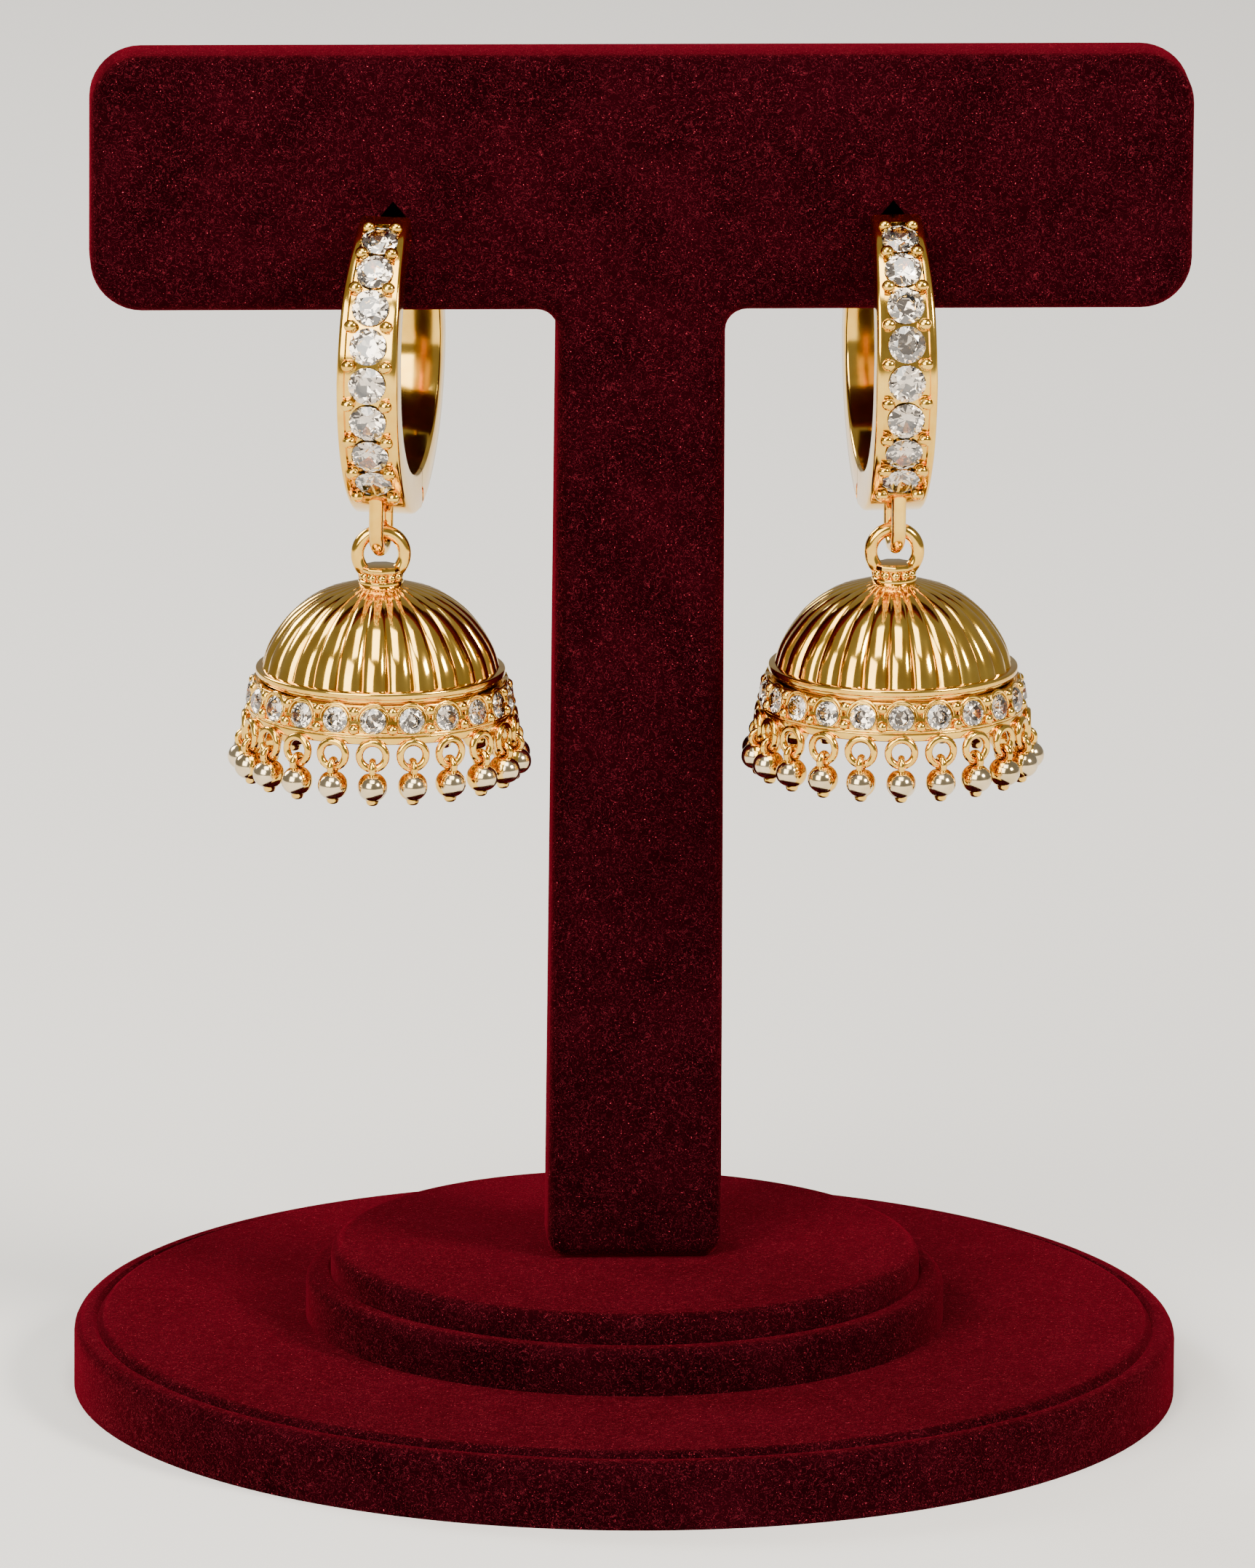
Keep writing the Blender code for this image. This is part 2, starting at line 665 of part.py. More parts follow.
def pointed_stone(bm):
    """Round stone with a table, a crown of triangles and a pointed back, its axis along Z."""
    girdle_z = STONE_RISE - CROWN_HEIGHT
    half_step = math.pi / STONE_SIDES
    table = row_of(bm, circle(STONE_RADIUS * TABLE_SHARE, STONE_RISE, STONE_SIDES, half_step))
    girdle = row_of(bm, circle(STONE_RADIUS, girdle_z, STONE_SIDES))
    below = row_of(bm, circle(STONE_RADIUS, girdle_z - GIRDLE_HEIGHT, STONE_SIDES))
    culet = bm.verts.new((0.0, 0.0, girdle_z - GIRDLE_HEIGHT - PAVILION_HEIGHT))
    bm.faces.new(table)
    bridge(bm, girdle, below)
    for index in range(STONE_SIDES):
        after = (index + 1) % STONE_SIDES
        bm.faces.new((girdle[index], girdle[after], table[index]))
        bm.faces.new((girdle[after], table[after], table[index]))
        bm.faces.new((below[index], below[after], culet))


def flat_backed_stone(bm, place):
    """Round stone with a table and a crown of flat facets on a flat back, for fusing to a setting."""
    heights = (BAND_STONE_RISE, -BAND_GIRDLE_SINK, -BAND_STONE_BACK)
    shares = (TABLE_SHARE, 1.0, 1.0)
    rows = []
    for height, share in zip(heights, shares):
        points = circle(BAND_STONE_RADIUS * share, height, STONE_SIDES, math.pi / STONE_SIDES)
        rows.append(row_of(bm, [place @ point for point in points]))
    bm.faces.new(rows[0])
    for upper, lower in zip(rows, rows[1:]):
        bridge(bm, upper, lower)
    bm.faces.new(rows[-1])


def facing(outward, point):
    """Placement whose Z axis points outwards from a surface in the hoop's section plane."""
    side = Vector((1, 0, 0))
    along = outward.cross(side)
    frame = Matrix((side, along, outward)).transposed().to_4x4()
    return Matrix.Translation(point) @ frame


def build_hoop_stones(name, seat):
    """Round stones in the hoop's channel, each an object of its own."""
    for index, degrees in enumerate(stone_angles()):
        here = hoop_point(degrees, 0.0)
        along = hoop_point(degrees + 1.0, 0.0) - hoop_point(degrees - 1.0, 0.0)
        outward = Vector((0.0, -along.y, along.x)).normalized()
        bm = bmesh.new()
        pointed_stone(bm)
        place = facing(outward, Vector((0.0, here.x, here.y)))
        make_object(f"{name}_hoop_stone_{index + 1}", bm, STONE, seat, place, smooth_deg=10.0)


def build_dome(name, swing):
    """Hollow fluted dome with its flange, collar and hanging ring."""
    columns = 2 * FLUTE_COUNT
    bm = bmesh.new()
    rows = []
    for height_share, radius_share in reversed(DOME_SECTIONS):
        radius = DOME_RADIUS * radius_share
        points = circle(1.0, DOME_FOOT_Z + DOME_HEIGHT * height_share, columns)
        for index, point in enumerate(points):
            size = radius if index % 2 else radius - FLUTE_DEPTH * radius_share
            point.x *= size
            point.y *= size
        rows.append(row_of(bm, points))
    rows.append(row_of(bm, circle(FLANGE_RADIUS, DOME_FOOT_Z, columns)))
    rows.append(row_of(bm, circle(FLANGE_RADIUS, FLANGE_FOOT_Z, columns)))
    bm.faces.new(rows[0])
    for upper, lower in zip(rows, rows[1:]):
        bridge(bm, upper, lower)
    inside = []
    inner_radius = DOME_RADIUS - FLUTE_DEPTH - DOME_WALL
    inner_height = DOME_HEIGHT + FLANGE_HEIGHT - DOME_ROOF_WALL
    for height_share, radius_share in DOME_INSIDE:
        height = FLANGE_FOOT_Z + inner_height * height_share
        inside.append(row_of(bm, circle(inner_radius * radius_share, height, FLUTE_COUNT)))
    stitch(bm, rows[-1], inside[0])
    for lower, upper in zip(inside, inside[1:]):
        bridge(bm, lower, upper)
    bm.faces.new(inside[-1])
    dome = make_object(name + "_bell_dome", bm, GOLD, swing)

    collar = bmesh.new()
    turned(collar, [(COLLAR_RADIUS, COLLAR_TOP_Z - COLLAR_HEIGHT), (COLLAR_RADIUS, COLLAR_TOP_Z)], COLLAR_SIDES)
    apply_tool(dome, make_object(name + "_collar_tool", collar, GOLD, swing), "UNION")
    ring = bmesh.new()
    path = [Vector((point.x, 0.0, point.y - RING_RADIUS)) for point in circle(RING_RADIUS, 0.0, RING_SEGMENTS)]
    swept_wire(ring, path, Vector((0, 1, 0)), WIRE_RADIUS, WIRE_SIDES, closed=True)
    apply_tool(dome, make_object(name + "_ring_tool", ring, GOLD, swing), "UNION")


def round_places(radius, height):
    """Outward-facing places evenly round the bell, the first one at the front."""
    places = []
    for index in range(DROP_COUNT):
        angle = -math.pi / 2 + 2 * math.pi * index / DROP_COUNT
        spin = Matrix.Rotation(angle + math.pi / 2, 4, "Z")
        places.append(spin @ Matrix.Translation((0.0, -radius, height)))
    return places


def build_band(name, swing):
    """Stone band: a flared setting with its stones fused in."""
    corner_share = 1 / math.cos(math.pi / DROP_COUNT)
    phase = -math.pi / 2 + math.pi / DROP_COUNT
    bm = bmesh.new()
    profile = (
        (BAND_TOP_RADIUS, BAND_TOP_Z),
        (BAND_FOOT_RADIUS, BAND_FOOT_Z),
        (BAND_FOOT_RADIUS - BAND_WALL, BAND_FOOT_Z),
        (BAND_TOP_RADIUS - BAND_WALL, BAND_TOP_Z),
    )
    rows = [row_of(bm, circle(radius * corner_share, height, DROP_COUNT, phase)) for radius, height in profile]
    for index, row in enumerate(rows):
        bridge(bm, row, rows[(index + 1) % len(rows)])
    band = make_object(name + "_stone_band", bm, GOLD, swing)

    stones = bmesh.new()
    middle_radius = (BAND_TOP_RADIUS + BAND_FOOT_RADIUS) / 2
    tilt = Matrix.Rotation(
        math.pi / 2 - math.atan2(BAND_FOOT_RADIUS - BAND_TOP_RADIUS, BAND_HEIGHT), 4, "X")
    for place in round_places(middle_radius, (BAND_TOP_Z + BAND_FOOT_Z) / 2):
        flat_backed_stone(stones, place @ tilt)
    apply_tool(band, make_object(name + "_band_stones_tool", stones, STONE, swing), "UNION")


def build_fringe(name, swing):
    """Bead fringe: gallery wire, soldered rings and bead drops in one."""
    bm = bmesh.new()
    corner_share = 1 / math.cos(math.pi / DROP_COUNT)
    phase = -math.pi / 2 + math.pi / DROP_COUNT
    half = GALLERY_WIRE / 2
    rows = []
    for out, up in ((half, half), (half, -half), (-half, -half), (-half, half)):
        radius = (FRINGE_RADIUS + out) * corner_share
        rows.append(row_of(bm, circle(radius, GALLERY_Z + up, DROP_COUNT, phase)))
    for index, row in enumerate(rows):
        bridge(bm, row, rows[(index + 1) % len(rows)])
    fringe = make_object(name + "_bead_fringe", bm, BEAD, swing)

    rings = bmesh.new()
    drops = bmesh.new()
    for place in round_places(FRINGE_RADIUS, FRINGE_RING_Z):
        path = [
            place @ Vector((point.x, 0.0, point.y))
            for point in circle(FRINGE_RING_RADIUS, 0.0, FRINGE_RING_SEGMENTS, math.pi / 2)
        ]
        normal = (place.to_3x3() @ Vector((0, 1, 0))).normalized()
        swept_wire(rings, path, normal, FRINGE_WIRE_RADIUS, FRINGE_WIRE_SIDES, closed=True)
        add_drop(drops, place)
    apply_tool(fringe, make_object(name + "_fringe_rings_tool", rings, BEAD, swing), "UNION")
    apply_tool(fringe, make_object(name + "_fringe_drops_tool", drops, BEAD, swing), "UNION")


def add_drop(bm, place):
    """One bead drop under the ring at the given place."""
    neck_foot = -BEAD_DROP + BEAD_RADIUS * NECK_FOOT_SHARE
    neck = [
        row_of(bm, [place @ point for point in circle(NECK_RADIUS, height, NECK_SIDES)])
        for height in (-NECK_TOP_DROP, neck_foot)
    ]
    bead = [
        row_of(bm, [
            place @ point
            for point in circle(BEAD_RADIUS * radius_share, BEAD_RADIUS * height_share - BEAD_DROP, BEAD_SIDES)
        ])
        for height_share, radius_share in BEAD_SECTIONS
    ]
    tip = bm.verts.new(place @ Vector((0.0, 0.0, -BEAD_DROP - TIP_DROP)))
    bm.faces.new(neck[0])
    bridge(bm, neck[0], neck[1])
    stitch(bm, bead[0], neck[1])
    bridge(bm, bead[0], bead[1])
    for index in range(BEAD_SIDES):
        bm.faces.new((bead[1][index], bead[1][(index + 1) % BEAD_SIDES], tip))


def hoop_seat(side, turn_deg):
    """Placement of a hoop's centre, with its front half's top end just before the bar."""
    turn = math.radians(turn_deg)
    across = hoop_width(HOOP_HEIGHT_RADIUS) / 2 * abs(math.sin(turn))
    y = BOARD_FRONT_Y - SEAT_GAP - across + HOOP_TOP_REACH * math.cos(turn)
    x = BOARD_SET_RIGHT + side * HOOP_SPACING / 2
    return Matrix.Translation((x, y, HOOP_CENTRE_Z)) @ Matrix.Rotation(turn, 4, "Z")


def build_earring(board, name, side, turn_deg):
    """One earring on the bar, with its hinge and its bell's swing on empties of their own."""
    place = hoop_seat(side, turn_deg)
    seat = make_empty(name + "_earring", place)
    build_hoop_front(name, seat, side)
    build_hoop_back(name, seat)
    build_hoop_stones(name, seat)

    hang = place @ Vector((0.0, -loop_set_forward(), BELL_AXIS_Z))
    swing = make_empty(name + "_bell_swing", Matrix.Translation(hang))
    build_dome(name, swing)
    build_band(name, swing)
    build_fringe(name, swing)

    start, end, along = post_ends()
    hole = bmesh.new()
    rod(hole, start - along * BOARD_THICKNESS / 2, end + along * BOARD_THICKNESS / 2,
        EAR_POST_RADIUS + HOLE_CLEARANCE, EAR_POST_SIDES)
    apply_tool(board, make_object(name + "_board_hole_tool", hole, VELVET, seat), "DIFFERENCE")


def main():
    """Build the stand and both earrings."""
    clear_scene()
    build_foot()
    board = build_board()
    for name, side, turn_deg in EARRINGS:
        build_earring(board, name, side, turn_deg)


main()
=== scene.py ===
"""Looks of a pair of jhumka earrings on a velvet T-bar display stand.

Each piece is modelled in millimetres round the origin of its own sub-assembly, and is then set in its place
in the frame, in metres. Azimuths run anticlockwise seen from above, and the stand's front faces -Y.
"""

import json
import logging
import math
from collections.abc import Callable, Iterator, Sequence
from contextlib import contextmanager
from dataclasses import dataclass
from enum import Enum

import bmesh
import bpy
from mathutils import Matrix, Quaternion, Vector


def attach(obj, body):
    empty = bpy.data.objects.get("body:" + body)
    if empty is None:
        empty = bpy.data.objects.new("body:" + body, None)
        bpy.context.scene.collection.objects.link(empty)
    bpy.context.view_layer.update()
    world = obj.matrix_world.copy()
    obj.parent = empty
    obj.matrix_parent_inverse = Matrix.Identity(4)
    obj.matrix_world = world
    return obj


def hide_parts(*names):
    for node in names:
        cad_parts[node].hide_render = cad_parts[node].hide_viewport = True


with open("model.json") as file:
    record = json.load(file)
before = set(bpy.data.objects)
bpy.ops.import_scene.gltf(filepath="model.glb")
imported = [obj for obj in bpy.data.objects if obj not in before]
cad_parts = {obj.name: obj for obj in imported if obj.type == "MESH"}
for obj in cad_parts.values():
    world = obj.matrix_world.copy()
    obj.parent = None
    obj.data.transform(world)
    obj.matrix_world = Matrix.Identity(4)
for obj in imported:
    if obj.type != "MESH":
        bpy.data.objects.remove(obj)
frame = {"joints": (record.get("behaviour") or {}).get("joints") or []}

MM = 0.001
TURN = 2 * math.pi
QUARTER = math.pi / 2
ORIGIN = (0.0, 0.0, 0.0)
LOG = logging.getLogger("jhumka")

Thing = bpy.types.Object
Material = bpy.types.Material
Socket = bpy.types.NodeSocket
Point = tuple[float, float, float]
Test = Callable[[Vector, Vector], bool]


class Pick(Enum):
    """What is selected in edit mode."""

    VERTS = "VERT"
    EDGES = "EDGE"
    FACES = "FACE"


class Side(Enum):
    """The side of the bar that an earring hangs on."""

    LEFT = "left"
    RIGHT = "right"


# Bench: small helpers round Blender's own modelling tools


def clear_bench() -> None:
    """Leave edit mode and select nothing."""
    if bpy.context.object and bpy.context.object.mode != "OBJECT":
        bpy.ops.object.mode_set(mode="OBJECT")
    bpy.ops.object.select_all(action="DESELECT")


def take(thing: Thing) -> Thing:
    """Select one object alone and make it the active one."""
    clear_bench()
    thing.select_set(True)
    bpy.context.view_layer.objects.active = thing
    return thing


def named(thing: Thing, name: str) -> Thing:
    """Name an object and its data."""
    thing.name = name
    thing.data.name = name
    return thing


def shape(name: str, add: Callable[..., set[str]], **settings: object) -> Thing:
    """Add a primitive with its operator, name it and put its place in its mesh."""
    clear_bench()
    add(**settings)
    bpy.ops.object.transform_apply(location=True, rotation=True, scale=True)
    return named(bpy.context.object, name)


def cylinder(name: str, sides: int, radius: float, low: float, high: float, **settings: object) -> Thing:
    """Add an upright cylinder between two heights."""
    return shape(name, bpy.ops.mesh.primitive_cylinder_add, vertices=sides, radius=radius,
                 depth=high - low, location=(0.0, 0.0, (low + high) / 2), **settings)


def ball(name: str, segments: int, rings: int, radius: float, location: Point = ORIGIN) -> Thing:
    """Add a sphere."""
    return shape(name, bpy.ops.mesh.primitive_uv_sphere_add, segments=segments, ring_count=rings,
                 radius=radius, location=location)


@contextmanager
def editing(thing: Thing) -> Iterator[None]:
    """Keep an object in edit mode, with all of it selected at the start."""
    take(thing)
    bpy.ops.object.mode_set(mode="EDIT")
    bpy.ops.mesh.select_mode(type=Pick.VERTS.value)
    select_all()
    yield
    bpy.ops.object.mode_set(mode="OBJECT")


def select_all() -> None:
    """Select all of the mesh in edit mode."""
    bpy.ops.mesh.select_all(action="SELECT")


def face_out() -> None:
    """Turn all faces of the mesh in edit mode outwards."""
    select_all()
    bpy.ops.mesh.normals_make_consistent(inside=False)


def scale(x: float, y: float, z: float, centre: Point = ORIGIN) -> None:
    """Scale the selection about a point."""
    bpy.ops.transform.resize(value=(x, y, z), center_override=centre)


def shift(x: float, y: float, z: float) -> None:
    """Move the selection."""
    bpy.ops.transform.translate(value=(x, y, z))


def extrude(x: float, y: float, z: float) -> None:
    """Extrude the selection."""
    bpy.ops.mesh.extrude_region_move(TRANSFORM_OT_translate={"value": (x, y, z)})


def pick(kind: Pick, test: Test) -> None:
    """Select the items of the mesh in edit mode that pass a test.

    Args:
        kind: What to select.
        test: Takes an edge's two ends, or the middle and the normal of a vertex or face.
    """
    bpy.ops.mesh.select_mode(type=kind.value)
    bpy.ops.mesh.select_all(action="DESELECT")
    mesh = bpy.context.object.data
    bm = bmesh.from_edit_mesh(mesh)
    bm.normal_update()
    if kind is Pick.VERTS:
        items = [(vert, vert.co, vert.normal) for vert in bm.verts]
    elif kind is Pick.EDGES:
        items = [(edge, edge.verts[0].co, edge.verts[1].co) for edge in bm.edges]
    else:
        items = [(face, face.calc_center_median(), face.normal) for face in bm.faces]
    for item, first, second in items:
        if test(first, second):
            item.select_set(True)
    bm.select_flush_mode()
    bmesh.update_edit_mesh(mesh)


def bevel_edges(test: Test, width: float, segments: int) -> None:
    """Round the edges whose two ends pass a test."""
    pick(Pick.EDGES, test)
    bpy.ops.mesh.bevel(offset=width, segments=segments, affect="EDGES")


def bevel_rims(test: Test, width: float, segments: int) -> None:
    """Round the outlines of the faces that pass a test."""
    pick(Pick.FACES, test)
    bpy.ops.mesh.region_to_loop()
    bpy.ops.mesh.bevel(offset=width, segments=segments, affect="EDGES")


def reach(point: Vector) -> float:
    """Distance of a point from the Z axis."""
    return math.hypot(point.x, point.y)


def close_up(thing: Thing) -> Thing:
    """Merge doubled points and turn all faces outwards."""
    with editing(thing):
        bpy.ops.mesh.remove_doubles(threshold=0.0005)
        bpy.ops.mesh.normals_make_consistent(inside=False)
    return thing


def modify(thing: Thing, kind: str, **settings: object) -> Thing:
    """Add a modifier with the given settings and apply it."""
    take(thing)
    step = thing.modifiers.new(kind.lower(), kind)
    for key, value in settings.items():
        setattr(step, key, value)
    bpy.ops.object.modifier_apply(modifier=step.name)
    return thing


def boolean(thing: Thing, tool: Thing, operation: str) -> None:
    """Fuse a tool to an object or cut it away, and remove the tool."""
    modify(thing, "BOOLEAN", operation=operation, solver="EXACT", object=tool)
    bpy.data.objects.remove(tool)


def move(thing: Thing, place: Matrix) -> Thing:
    """Set an object's place in its mesh."""
    thing.data.transform(place)
    return thing


def joined(name: str, things: Sequence[Thing]) -> Thing:
    """Join several objects into one."""
    clear_bench()
    for thing in things:
        thing.select_set(True)
    bpy.context.view_layer.objects.active = things[0]
    bpy.ops.object.join()
    return named(bpy.context.object, name)


def repeated(name: str, master: Thing, places: Sequence[Matrix]) -> Thing:
    """Copy a master with a mesh of its own to each place, join the copies and remove the master."""
    copies = []
    for index, place in enumerate(places):
        twin = master.copy()
        twin.data = master.data.copy()
        bpy.context.scene.collection.objects.link(twin)
        copies.append(move(named(twin, f"{name}_{index}"), place))
    bpy.data.objects.remove(master)
    return joined(name, copies)


def smooth(thing: Thing, degrees: float = 38.0) -> Thing:
    """Shade smooth, apart from edges sharper than an angle."""
    take(thing)
    bpy.ops.object.shade_smooth_by_angle(angle=math.radians(degrees))
    return thing


def turned(degrees: float, axis: str = "Z") -> Matrix:
    """Rotation about an axis."""
    return Matrix.Rotation(math.radians(degrees), 4, axis)


def ring_places(count: int, radius: float, height: float, first: float = -90.0) -> list[Matrix]:
    """Places evenly round the Z axis whose own -Y points outwards, the first one at an azimuth."""
    out = Matrix.Translation((0.0, -radius, height))
    return [turned(first + 90.0 + 360.0 * index / count) @ out for index in range(count)]


def turned_bar(name: str, inner: float, outer: float, low: float, high: float, rounding: float,
               steps: int = 168, lean: float = 0.0) -> Thing:
    """Spin a rounded rectangle round the Z axis into a closed ring.

    Args:
        name: The object's name.
        inner: Inner radius in millimetres.
        outer: Outer radius.
        low: Height of the lower face.
        high: Height of the upper face.
        rounding: Radius of the section's corners.
        steps: Number of flats round the ring.
        lean: How far the upper edge leans towards the axis.

    Returns:
        The ring.
    """
    middle = (low + high) / 2
    thing = shape(name, bpy.ops.mesh.primitive_plane_add, size=1.0, rotation=(QUARTER, 0.0, 0.0))
    with editing(thing):
        scale(outer - inner, 1.0, high - low)
        shift((inner + outer) / 2, 0.0, middle)
        if lean:
            pick(Pick.VERTS, lambda point, _: point.z > middle)
            shift(-lean, 0.0, 0.0)
        select_all()
        bpy.ops.mesh.bevel(offset=rounding, segments=3, affect="VERTICES")
        select_all()
        bpy.ops.mesh.delete(type="ONLY_FACE")
        select_all()
        bpy.ops.mesh.spin(steps=steps, angle=TURN, center=ORIGIN, axis=(0.0, 0.0, 1.0))
    return close_up(thing)


def wire_ring(name: str, radius: float, wire: float, around: int, sides: int,
              angle: float = TURN) -> Thing:
    """Spin a round wire's section about the Y axis into a ring, or a part of one.

    The arc starts at +X and runs over -Z.
    """
    thing = shape(name, bpy.ops.mesh.primitive_circle_add, vertices=sides, radius=wire,
                  location=(radius, 0.0, 0.0))
    with editing(thing):
        bpy.ops.mesh.spin(steps=around, angle=angle, center=ORIGIN, axis=(0.0, -1.0, 0.0))
        if angle < TURN - 1e-6:
            bpy.ops.mesh.select_mode(type=Pick.EDGES.value)
            bpy.ops.mesh.select_all(action="DESELECT")
            bpy.ops.mesh.select_non_manifold()
            bpy.ops.mesh.edge_face_add()
    return close_up(thing)


# Finishes


def linear(hexadecimal: str) -> tuple[float, float, float, float]:
    """Turn an sRGB hex colour into linear RGBA."""
    channels = []
    for start in (1, 3, 5):
        value = int(hexadecimal[start:start + 2], 16) / 255
        channels.append(value / 12.92 if value <= 0.04045 else ((value + 0.055) / 1.055) ** 2.4)
    return channels[0], channels[1], channels[2], 1.0


def add_node(tree: bpy.types.NodeTree, kind: str, settings: dict[str, object] | None = None,
             **links: Socket) -> bpy.types.Node:
    """Add a shader node with its settings, constants and links.

    Args:
        tree: The material's node tree.
        kind: The node's type.
        settings: Attributes of the node and numbers or colours of its sockets, by name.
        links: Sockets to link.

    Returns:
        The node.
    """
    node = tree.nodes.new(kind)
    for key, value in (settings or {}).items():
        if key in node.inputs.keys() and not hasattr(node, key):
            node.inputs[key].default_value = value
        else:
            setattr(node, key, value)
    for key, source in links.items():
        tree.links.new(source, node.inputs[key])
    return node


class Recipe:
    """A node material in the making, patterned by Object coordinates."""

    def __init__(self, name: str, **constants: object) -> None:
        """Start a material and set constants of its shader, with spaces in names as underscores."""
        self.made = bpy.data.materials.new(name)
        self.made.use_nodes = True
        self.tree = self.made.node_tree
        self.shader = self.tree.nodes["Principled BSDF"]
        self.where = add_node(self.tree, "ShaderNodeTexCoord").outputs["Object"]
        for key, value in constants.items():
            self.shader.inputs[key.replace("_", " ")].default_value = value

    def noise(self, size: float, detail: float, distortion: float = 0.0) -> Socket:
        """Noise whose features are about a size in millimetres."""
        settings = {"Scale": 1.0 / (size * MM), "Detail": detail, "Distortion": distortion}
        return add_node(self.tree, "ShaderNodeTexNoise", settings, Vector=self.where).outputs["Fac"]

    def spread(self, value: Socket, start: float, end: float, low: float, high: float) -> Socket:
        """Carry a value's span from start to end over to one from low to high."""
        settings = {"From Min": start, "From Max": end, "To Min": low, "To Max": high}
        return add_node(self.tree, "ShaderNodeMapRange", settings, Value=value).outputs["Result"]

    def sum_up(self, operation: str, first: Socket, second: Socket | float | None = None) -> Socket:
        """Reckon with one or two values."""
        node = add_node(self.tree, "ShaderNodeMath", {"operation": operation})
        self.tree.links.new(first, node.inputs[0])
        if isinstance(second, float):
            node.inputs[1].default_value = second
        elif second:
            self.tree.links.new(second, node.inputs[1])
        return node.outputs["Value"]

    def ramp(self, value: Socket, *stops: tuple[float, str]) -> Socket:
        """Turn a value into a colour between two stops."""
        node = add_node(self.tree, "ShaderNodeValToRGB", Fac=value)
        for element, (place, colour) in zip(node.color_ramp.elements, stops):
            element.position = place
            element.color = linear(colour)
        return node.outputs["Color"]

    def finished(self, height: Socket, strength: float, relief: float, **links: Socket) -> Material:
        """Add a bump of a relief in millimetres, link the shader's other sockets and hand over."""
        settings = {"Strength": strength, "Distance": relief * MM}
        bump = add_node(self.tree, "ShaderNodeBump", settings, Height=height)
        for key, source in {**links, "Normal": bump.outputs["Normal"]}.items():
            self.tree.links.new(source, self.shader.inputs[key.replace("_", " ")])
        return self.made


@dataclass(frozen=True)
class GoldPlate:
    """Yellow gold plating on cast brass, tumble polished: bright, with faint cloudy patches in its gloss."""

    name: str
    colour: str
    shade: str
    roughness: float
    cloud: float = 1.6
    grain: float = 0.09
    grain_height: float = 0.0012

    def material(self) -> Material:
        """Build the node material."""
        recipe = Recipe(self.name, Metallic=1.0)
        cloud = recipe.noise(self.cloud, 3.0)
        tone = recipe.ramp(cloud, (0.3, self.shade), (0.7, self.colour))
        gloss = recipe.spread(cloud, 0.0, 1.0, self.roughness * 0.75, self.roughness * 1.3)
        return recipe.finished(recipe.noise(self.grain, 2.0), 0.25, self.grain_height,
                               Base_Color=tone, Roughness=gloss)


@dataclass(frozen=True)
class ClearStone:
    """Brilliant-cut cubic zirconia: clear, high in refraction, with a trace of haze on its facets."""

    name: str = "cubic_zirconia"
    colour: str = "#E6D7C6"
    ior: float = 2.15
    haze: float = 0.5
    roughness: float = 0.06

    def material(self) -> Material:
        """Build the node material."""
        recipe = Recipe(self.name, Base_Color=linear(self.colour), IOR=self.ior, Transmission_Weight=1.0)
        gloss = recipe.spread(recipe.noise(self.haze, 2.0), 0.0, 1.0, 0.0, self.roughness)
        recipe.tree.links.new(gloss, recipe.shader.inputs["Roughness"])
        return recipe.made


@dataclass(frozen=True)
class Velvet:
    """Cotton velvet glued over board: a short dense pile, dark face on and bright where seen along it, with
    painted glints of lit fibre tips and strands in its colour.
    """

    name: str
    deep: str
    pile: str
    painted_glint: str
    sheen: str
    painted_glint_size: float = 0.11
    patch_size: float = 5.0
    fibre_length: float = 0.45
    pile_height: float = 0.06

    def material(self) -> Material:
        """Build the node material."""
        recipe = Recipe(self.name, Roughness=0.9, Specular_IOR_Level=0.0, Sheen_Weight=0.3,
                        Sheen_Roughness=0.35, Sheen_Tint=linear(self.sheen))
        base = recipe.ramp(recipe.noise(self.patch_size, 4.0), (0.35, self.deep), (0.7, self.pile))
        # Painted highlight: fine flecks and thin hair-like strands in a bright pink-red are mixed into the
        # base colour as glints of fibre tips catching light; both also raise the bump.
        fine = recipe.noise(self.painted_glint_size, 2.0)
        painted_glint = recipe.spread(fine, 0.7, 0.8, 0.0, 0.95)
        ridge = recipe.sum_up("SUBTRACT", recipe.noise(self.fibre_length, 3.0, 1.6), 0.5)
        painted_strand_glint = recipe.spread(recipe.sum_up("ABSOLUTE", ridge), 0.0, 0.014, 0.16, 0.0)
        colour = add_node(recipe.tree, "ShaderNodeMixRGB", {"Color2": linear(self.painted_glint)},
                          Fac=recipe.sum_up("MAXIMUM", painted_glint, painted_strand_glint), Color1=base)
        return recipe.finished(recipe.sum_up("ADD", fine, painted_strand_glint), 0.7, self.pile_height,
                               Base_Color=colour.outputs["Color"])


@dataclass(frozen=True)
class StudioPaper:
    """Matt pale paper under the stand."""

    name: str = "studio_paper"
    colour: str = "#E9E6E2"
    tooth: float = 0.8
    tooth_height: float = 0.02

    def material(self) -> Material:
        """Build the node material."""
        recipe = Recipe(self.name, Base_Color=linear(self.colour), Roughness=0.9)
        return recipe.finished(recipe.noise(self.tooth, 2.0), 0.1, self.tooth_height)


@dataclass
class Finishes:
    """The materials of the pair and its stand, each built once."""

    gold: Material
    bead: Material
    stone: Material
    velvet: Material
    paper: Material

    @classmethod
    def built(cls) -> "Finishes":
        """Build every material."""
        return cls(
            gold=GoldPlate("yellow_gold_plate", "#F4C85C", "#E6B044", 0.11).material(),
            bead=GoldPlate("champagne_gold_plate", "#E8D4AE", "#CEB688", 0.14).material(),
            stone=ClearStone().material(),
            # The velvet's fourth colour is its painted glint of lit fibre tips and strands.
            velvet=Velvet("crimson_velvet", "#120103", "#1E0206", "#E4485C", "#DC2840").material(),
            paper=StudioPaper().material(),
        )


